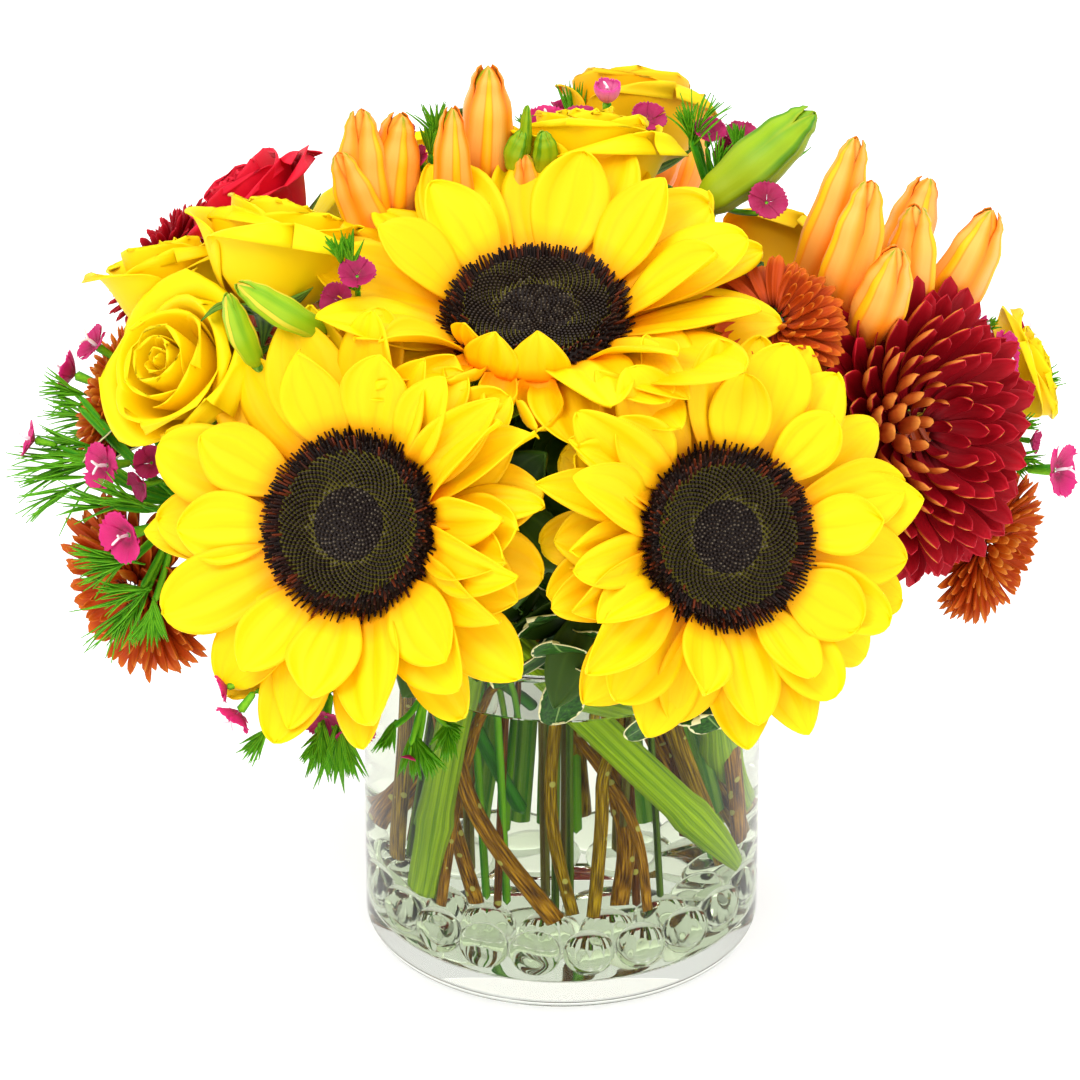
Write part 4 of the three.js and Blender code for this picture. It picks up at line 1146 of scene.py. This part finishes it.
def sprig(bm, twigs, settings, draw):
    # leaves that spiral up a short twig
    long = settings["length"]
    twig = long * 0.9
    growStem(twigs, [(0, 0, -long), (0.5, 0, 0), (0, 0.5, twig)], lambda v: 1.2 - 0.4 * v, 8, 12)
    for i in range(settings["leaves"]):
        slope = 58 - settings["spread"] * 0.5 + draw.uniform(-10, 10)
        size, half = long * draw.uniform(0.8, 1.1), long * draw.uniform(0.29, 0.35)
        slopes = slope, slope - draw.uniform(10, 50)
        shape = petalShape(size, half, outline(0.12, 0.68, 0.42), slopes, roll=0.35, ruffle=3.5,
                           twist=draw.uniform(-0.3, 0.3), seed=draw.uniform(0, 90))
        height = twig * (-0.1 + 1.05 * i / settings["leaves"])
        turn = i * goldenAngle + draw.uniform(-0.3, 0.3)
        grow(bm, 10, 12, placed(shape, turn, 0.4, height), tone=draw.random())


def makeSprigs():
    leaf = leafFinish()
    twig = stemFinish("pittosporumTwig", "#5c4a1c", "#8a8a38", 3)
    for name, settings in sprigSettings.items():
        draw = random.Random(settings["seed"])
        place = stance(settings["at"], settings["az"], settings["el"])
        leaves, twigs = startPiece(), startPiece()
        sprig(leaves, twigs, settings, draw)
        growStem(twigs, downTo(settings["at"]), 1.3, place=place.inverted() @ scaled)
        setPiece(leaves, named(name, "Leaves"), [leaf], [name], place, 0.4)
        setPiece(twigs, named(name, "Twig"), [twig], [], place)
    print("pittosporum")


greenSettings = {
    "heart": (0, 0, 165), "sprays": 22, "turn": 137.5, "elevations": (68, -14), "reach": (62, 92),
    "leaves": (6, 9), "length": (24, 36), "seed": 71,
    # places that show between the heads: foot of the leaves, azimuth, elevation
    "front": [
        ((-6, -62, 184), 2, 20), ((-14, -60, 168), -12, 8), ((4, -58, 204), 5, 30),
        ((-2, -62, 158), 10, -14), ((-30, -66, 152), -30, -20), ((60, -60, 156), 30, -18),
        ((78, -52, 170), 60, 0), ((-94, -40, 170), -70, 0), ((-50, -40, 214), -30, 50),
        ((34, -50, 210), 20, 50)],
    # short dark leaves between the stems in the mouth of the vase and in the water
    "neck": [
        ((8, -26, 126), 0, -40), ((-14, -26, 120), -20, -30), ((24, -24, 116), 25, -35),
        ((-30, -22, 104), -50, -30), ((0, -24, 108), 0, -50), ((38, -14, 98), 50, -40),
        ((16, -22, 94), 10, -60)],
    "neckLength": (11, 17),
    # how far out a twig's foot stands and how low it ends: some reach the marbles, most end inside
    "feet": ((0.7, 24), (0.15, 100), (0.2, 96)),
}


def downTo(at, foot=0.42, low=24):
    # points from a spray down through the neck of the vase into the water
    at = Vector(at)
    flat = Vector((at.x, at.y, 0))
    if at.z < 150 and flat.length > 60:
        # a low spray hangs outside, so its stem comes up over the rim
        rim = flat.normalized()
        steps = ((61, 131), (40, 114), (30, low))
        return [at] + [rim * out + Vector((0, 0, height)) for out, height in steps]
    return [at, flat * 0.5 + Vector((0, 0, 150)), flat.normalized() * 27 + Vector((0, 0, 116)),
            flat.normalized() * 50 * foot + Vector((0, 0, low))]


def clearOfHeads(point, margin=4):
    # keeps leaves off the faces of the large flowers
    if not clearOfSunflowers(point, margin):
        return False
    for bloom in {**roseSettings, **mumSettings}.values():
        out = heading(bloom["az"], bloom["el"])
        away = point - Vector(bloom["at"])
        if away.dot(out) > -bloom["radius"] * 0.5 and away.length < bloom["radius"] * 1.15:
            return False
    return True


def makeGreens():
    s = greenSettings
    draw = random.Random(s["seed"])
    finish = petalFinish("innerLeaf", "#1c2a08", "#26420e", "#33581a", "#5a7a2c", veins=3, roughness=0.4)
    twig = stemFinish("innerTwig", "#2c440a", "#6c9020", 3)
    leaves, twigs = startPiece(), startPiece()
    spots = [(Vector(at), heading(az, el), s["length"]) for at, az, el in s["front"]]
    spots += [(Vector(at), heading(az, el), s["neckLength"]) for at, az, el in s["neck"]]
    first, last = s["elevations"]
    for i in range(s["sprays"]):
        out = heading(i * s["turn"], first + (last - first) * (i + 0.5) / s["sprays"])
        spots.append((Vector(s["heart"]) + out * draw.uniform(*s["reach"]), out, s["length"]))
    for at, out, lengths in spots:
        az, el = math.degrees(math.atan2(out.x, -out.y)), math.degrees(math.asin(out.z))
        place = stance(at, az, el)
        for i in range(draw.randint(*s["leaves"])):
            slope = draw.uniform(20, 62)
            long = draw.uniform(*lengths)
            shape = petalShape(long, long * draw.uniform(0.24, 0.32), outline(0.15, 0.5, 0.8),
                               (slope, slope - draw.uniform(10, 60)), roll=0.4, ruffle=3,
                               twist=draw.uniform(-0.4, 0.4), seed=draw.uniform(0, 90))
            leaf = placed(shape, i * goldenAngle, 0.5, (3 * i - 18) * lengths[1] / s["length"][1])
            if not all(clearOfHeads(place @ leaf(0.5, v) / mm) for v in (0.5, 1)):
                continue
            grow(leaves, 8, 12, lambda u, v: place @ leaf(u, v), tone=draw.random())
        if not clearOfHeads(at + out * 4, 2):
            at = at - out * 16
        top = at + out * 4
        path = [p * mm for p in [top] + downTo(at - out * 6, *draw.choice(s["feet"]))]
        growStem(twigs, path, draw.uniform(0.8, 1.3) * mm, 8, 28, material=draw.randint(0, 1))
    setPiece(leaves, "innerLeaves", [finish], [], None, 0.4)
    bark = barkFinish("twigBark", "#281004", "#643408", "#b0701c")
    setPiece(twigs, "innerTwigs", [twig, bark], [])
    print("leaves between the flowers")


# the woody stems that show at the front, from the marbles through the water to the vase's mouth
frontStems = table("foot through neck radius", [
    ("rose_lower_left", (-2, -48, 28), (-26, -43, 66), (-42, -28), 3.6),
    ("mum_bronze_top", (-36, -40, 28), (-27, -37, 80), (-12, -38), 2.1),
    ("rose_left", (-24, -35, 28), (-31, -30, 58), (-42, -16), 2.9),
    ("rose_top", (3, -43, 28), (-3, -33, 62), (0, -22), 2.3),
    ("rose_upper_left", (9, -45, 28), (11, -37, 70), (6, -28), 2.4),
    ("mum_bronze_left", (25, -42, 28), (15, -31, 66), (-30, -6), 1.9),
    ("rose_red", (16, -36, 28), (15, -24, 60), (-10, -4), 3.2),
])
# each ring is how far out a stem stands at that height; a low bloom's stem comes over the rim
stemSettings = {"footRing": 42, "footHeight": 28, "neckRing": 27, "neckHeight": 116, "radius": 2.5,
                "lowBelow": 140, "lowRing": 46, "lowHeight": 133,
                # water makes a stem look thicker than it is
                "frontShare": 0.85,
                "lilyTube": [(-30, -30, 112), (-24, -28, 90), (-10, -24, 56)], "lilyTubeRadius": 2.1}


def bloomFoot(bloom):
    # roses sit on their sepals, chrysanthemums on a small cushion inside their petals
    depth = 0.45 if "open" in bloom else 0.2
    return Vector(bloom["at"]) - heading(bloom["az"], bloom["el"]) * bloom["radius"] * depth


def makeStems():
    bark = barkFinish("roseBark", "#341c04", "#8e5c06", "#e0a418")
    olive = barkFinish("oliveBark", "#342402", "#8c6a04", "#d8b010")
    s = stemSettings
    blooms = {**roseSettings, **mumSettings}
    for i, (name, bloom) in enumerate(blooms.items()):
        end = bloomFoot(bloom)
        bm = startPiece()
        if name in frontStems:
            stem = frontStems[name]
            points = [stem["foot"], stem["through"], (*stem["neck"], s["neckHeight"]), end]
            radius, nodes = stem["radius"] * s["frontShare"], [name + "_stem"]
        else:
            turn = math.atan2(end.y, end.x)
            low = end.z < s["lowBelow"]
            ring, height = s["lowRing" if low else "neckRing"], s["lowHeight" if low else "neckHeight"]
            points = [(math.cos(turn) * s["footRing"], math.sin(turn) * s["footRing"], s["footHeight"]),
                      (math.cos(turn) * ring, math.sin(turn) * ring, height), end]
            radius, nodes = s["radius"], []
        # a chrysanthemum's stem swells into its cushion
        swell = 0 if "open" in bloom else 3
        growStem(bm, points, lambda v: radius * (1 - 0.2 * v) + swell * v ** 24, 16, 40, seed=i * 7)
        setPiece(bm, named(name, "Stem"), [bark if i % 3 else olive], nodes, scaled)

    green = stemFinish("lilyTube", "#1f6a14", "#3f9a24", 3)
    bm = startPiece()
    growStem(bm, s["lilyTube"], s["lilyTubeRadius"], 16, 12)
    setPiece(bm, "lilyTube", [green], ["lily_stem"], scaled)
    print("stems")


setStage()
makeVase()
makeSunflowers()
makeRoses()
makeMums()
makeLilies()
makeDianthus()
makeSprigs()
makeGreens()
makeStems()
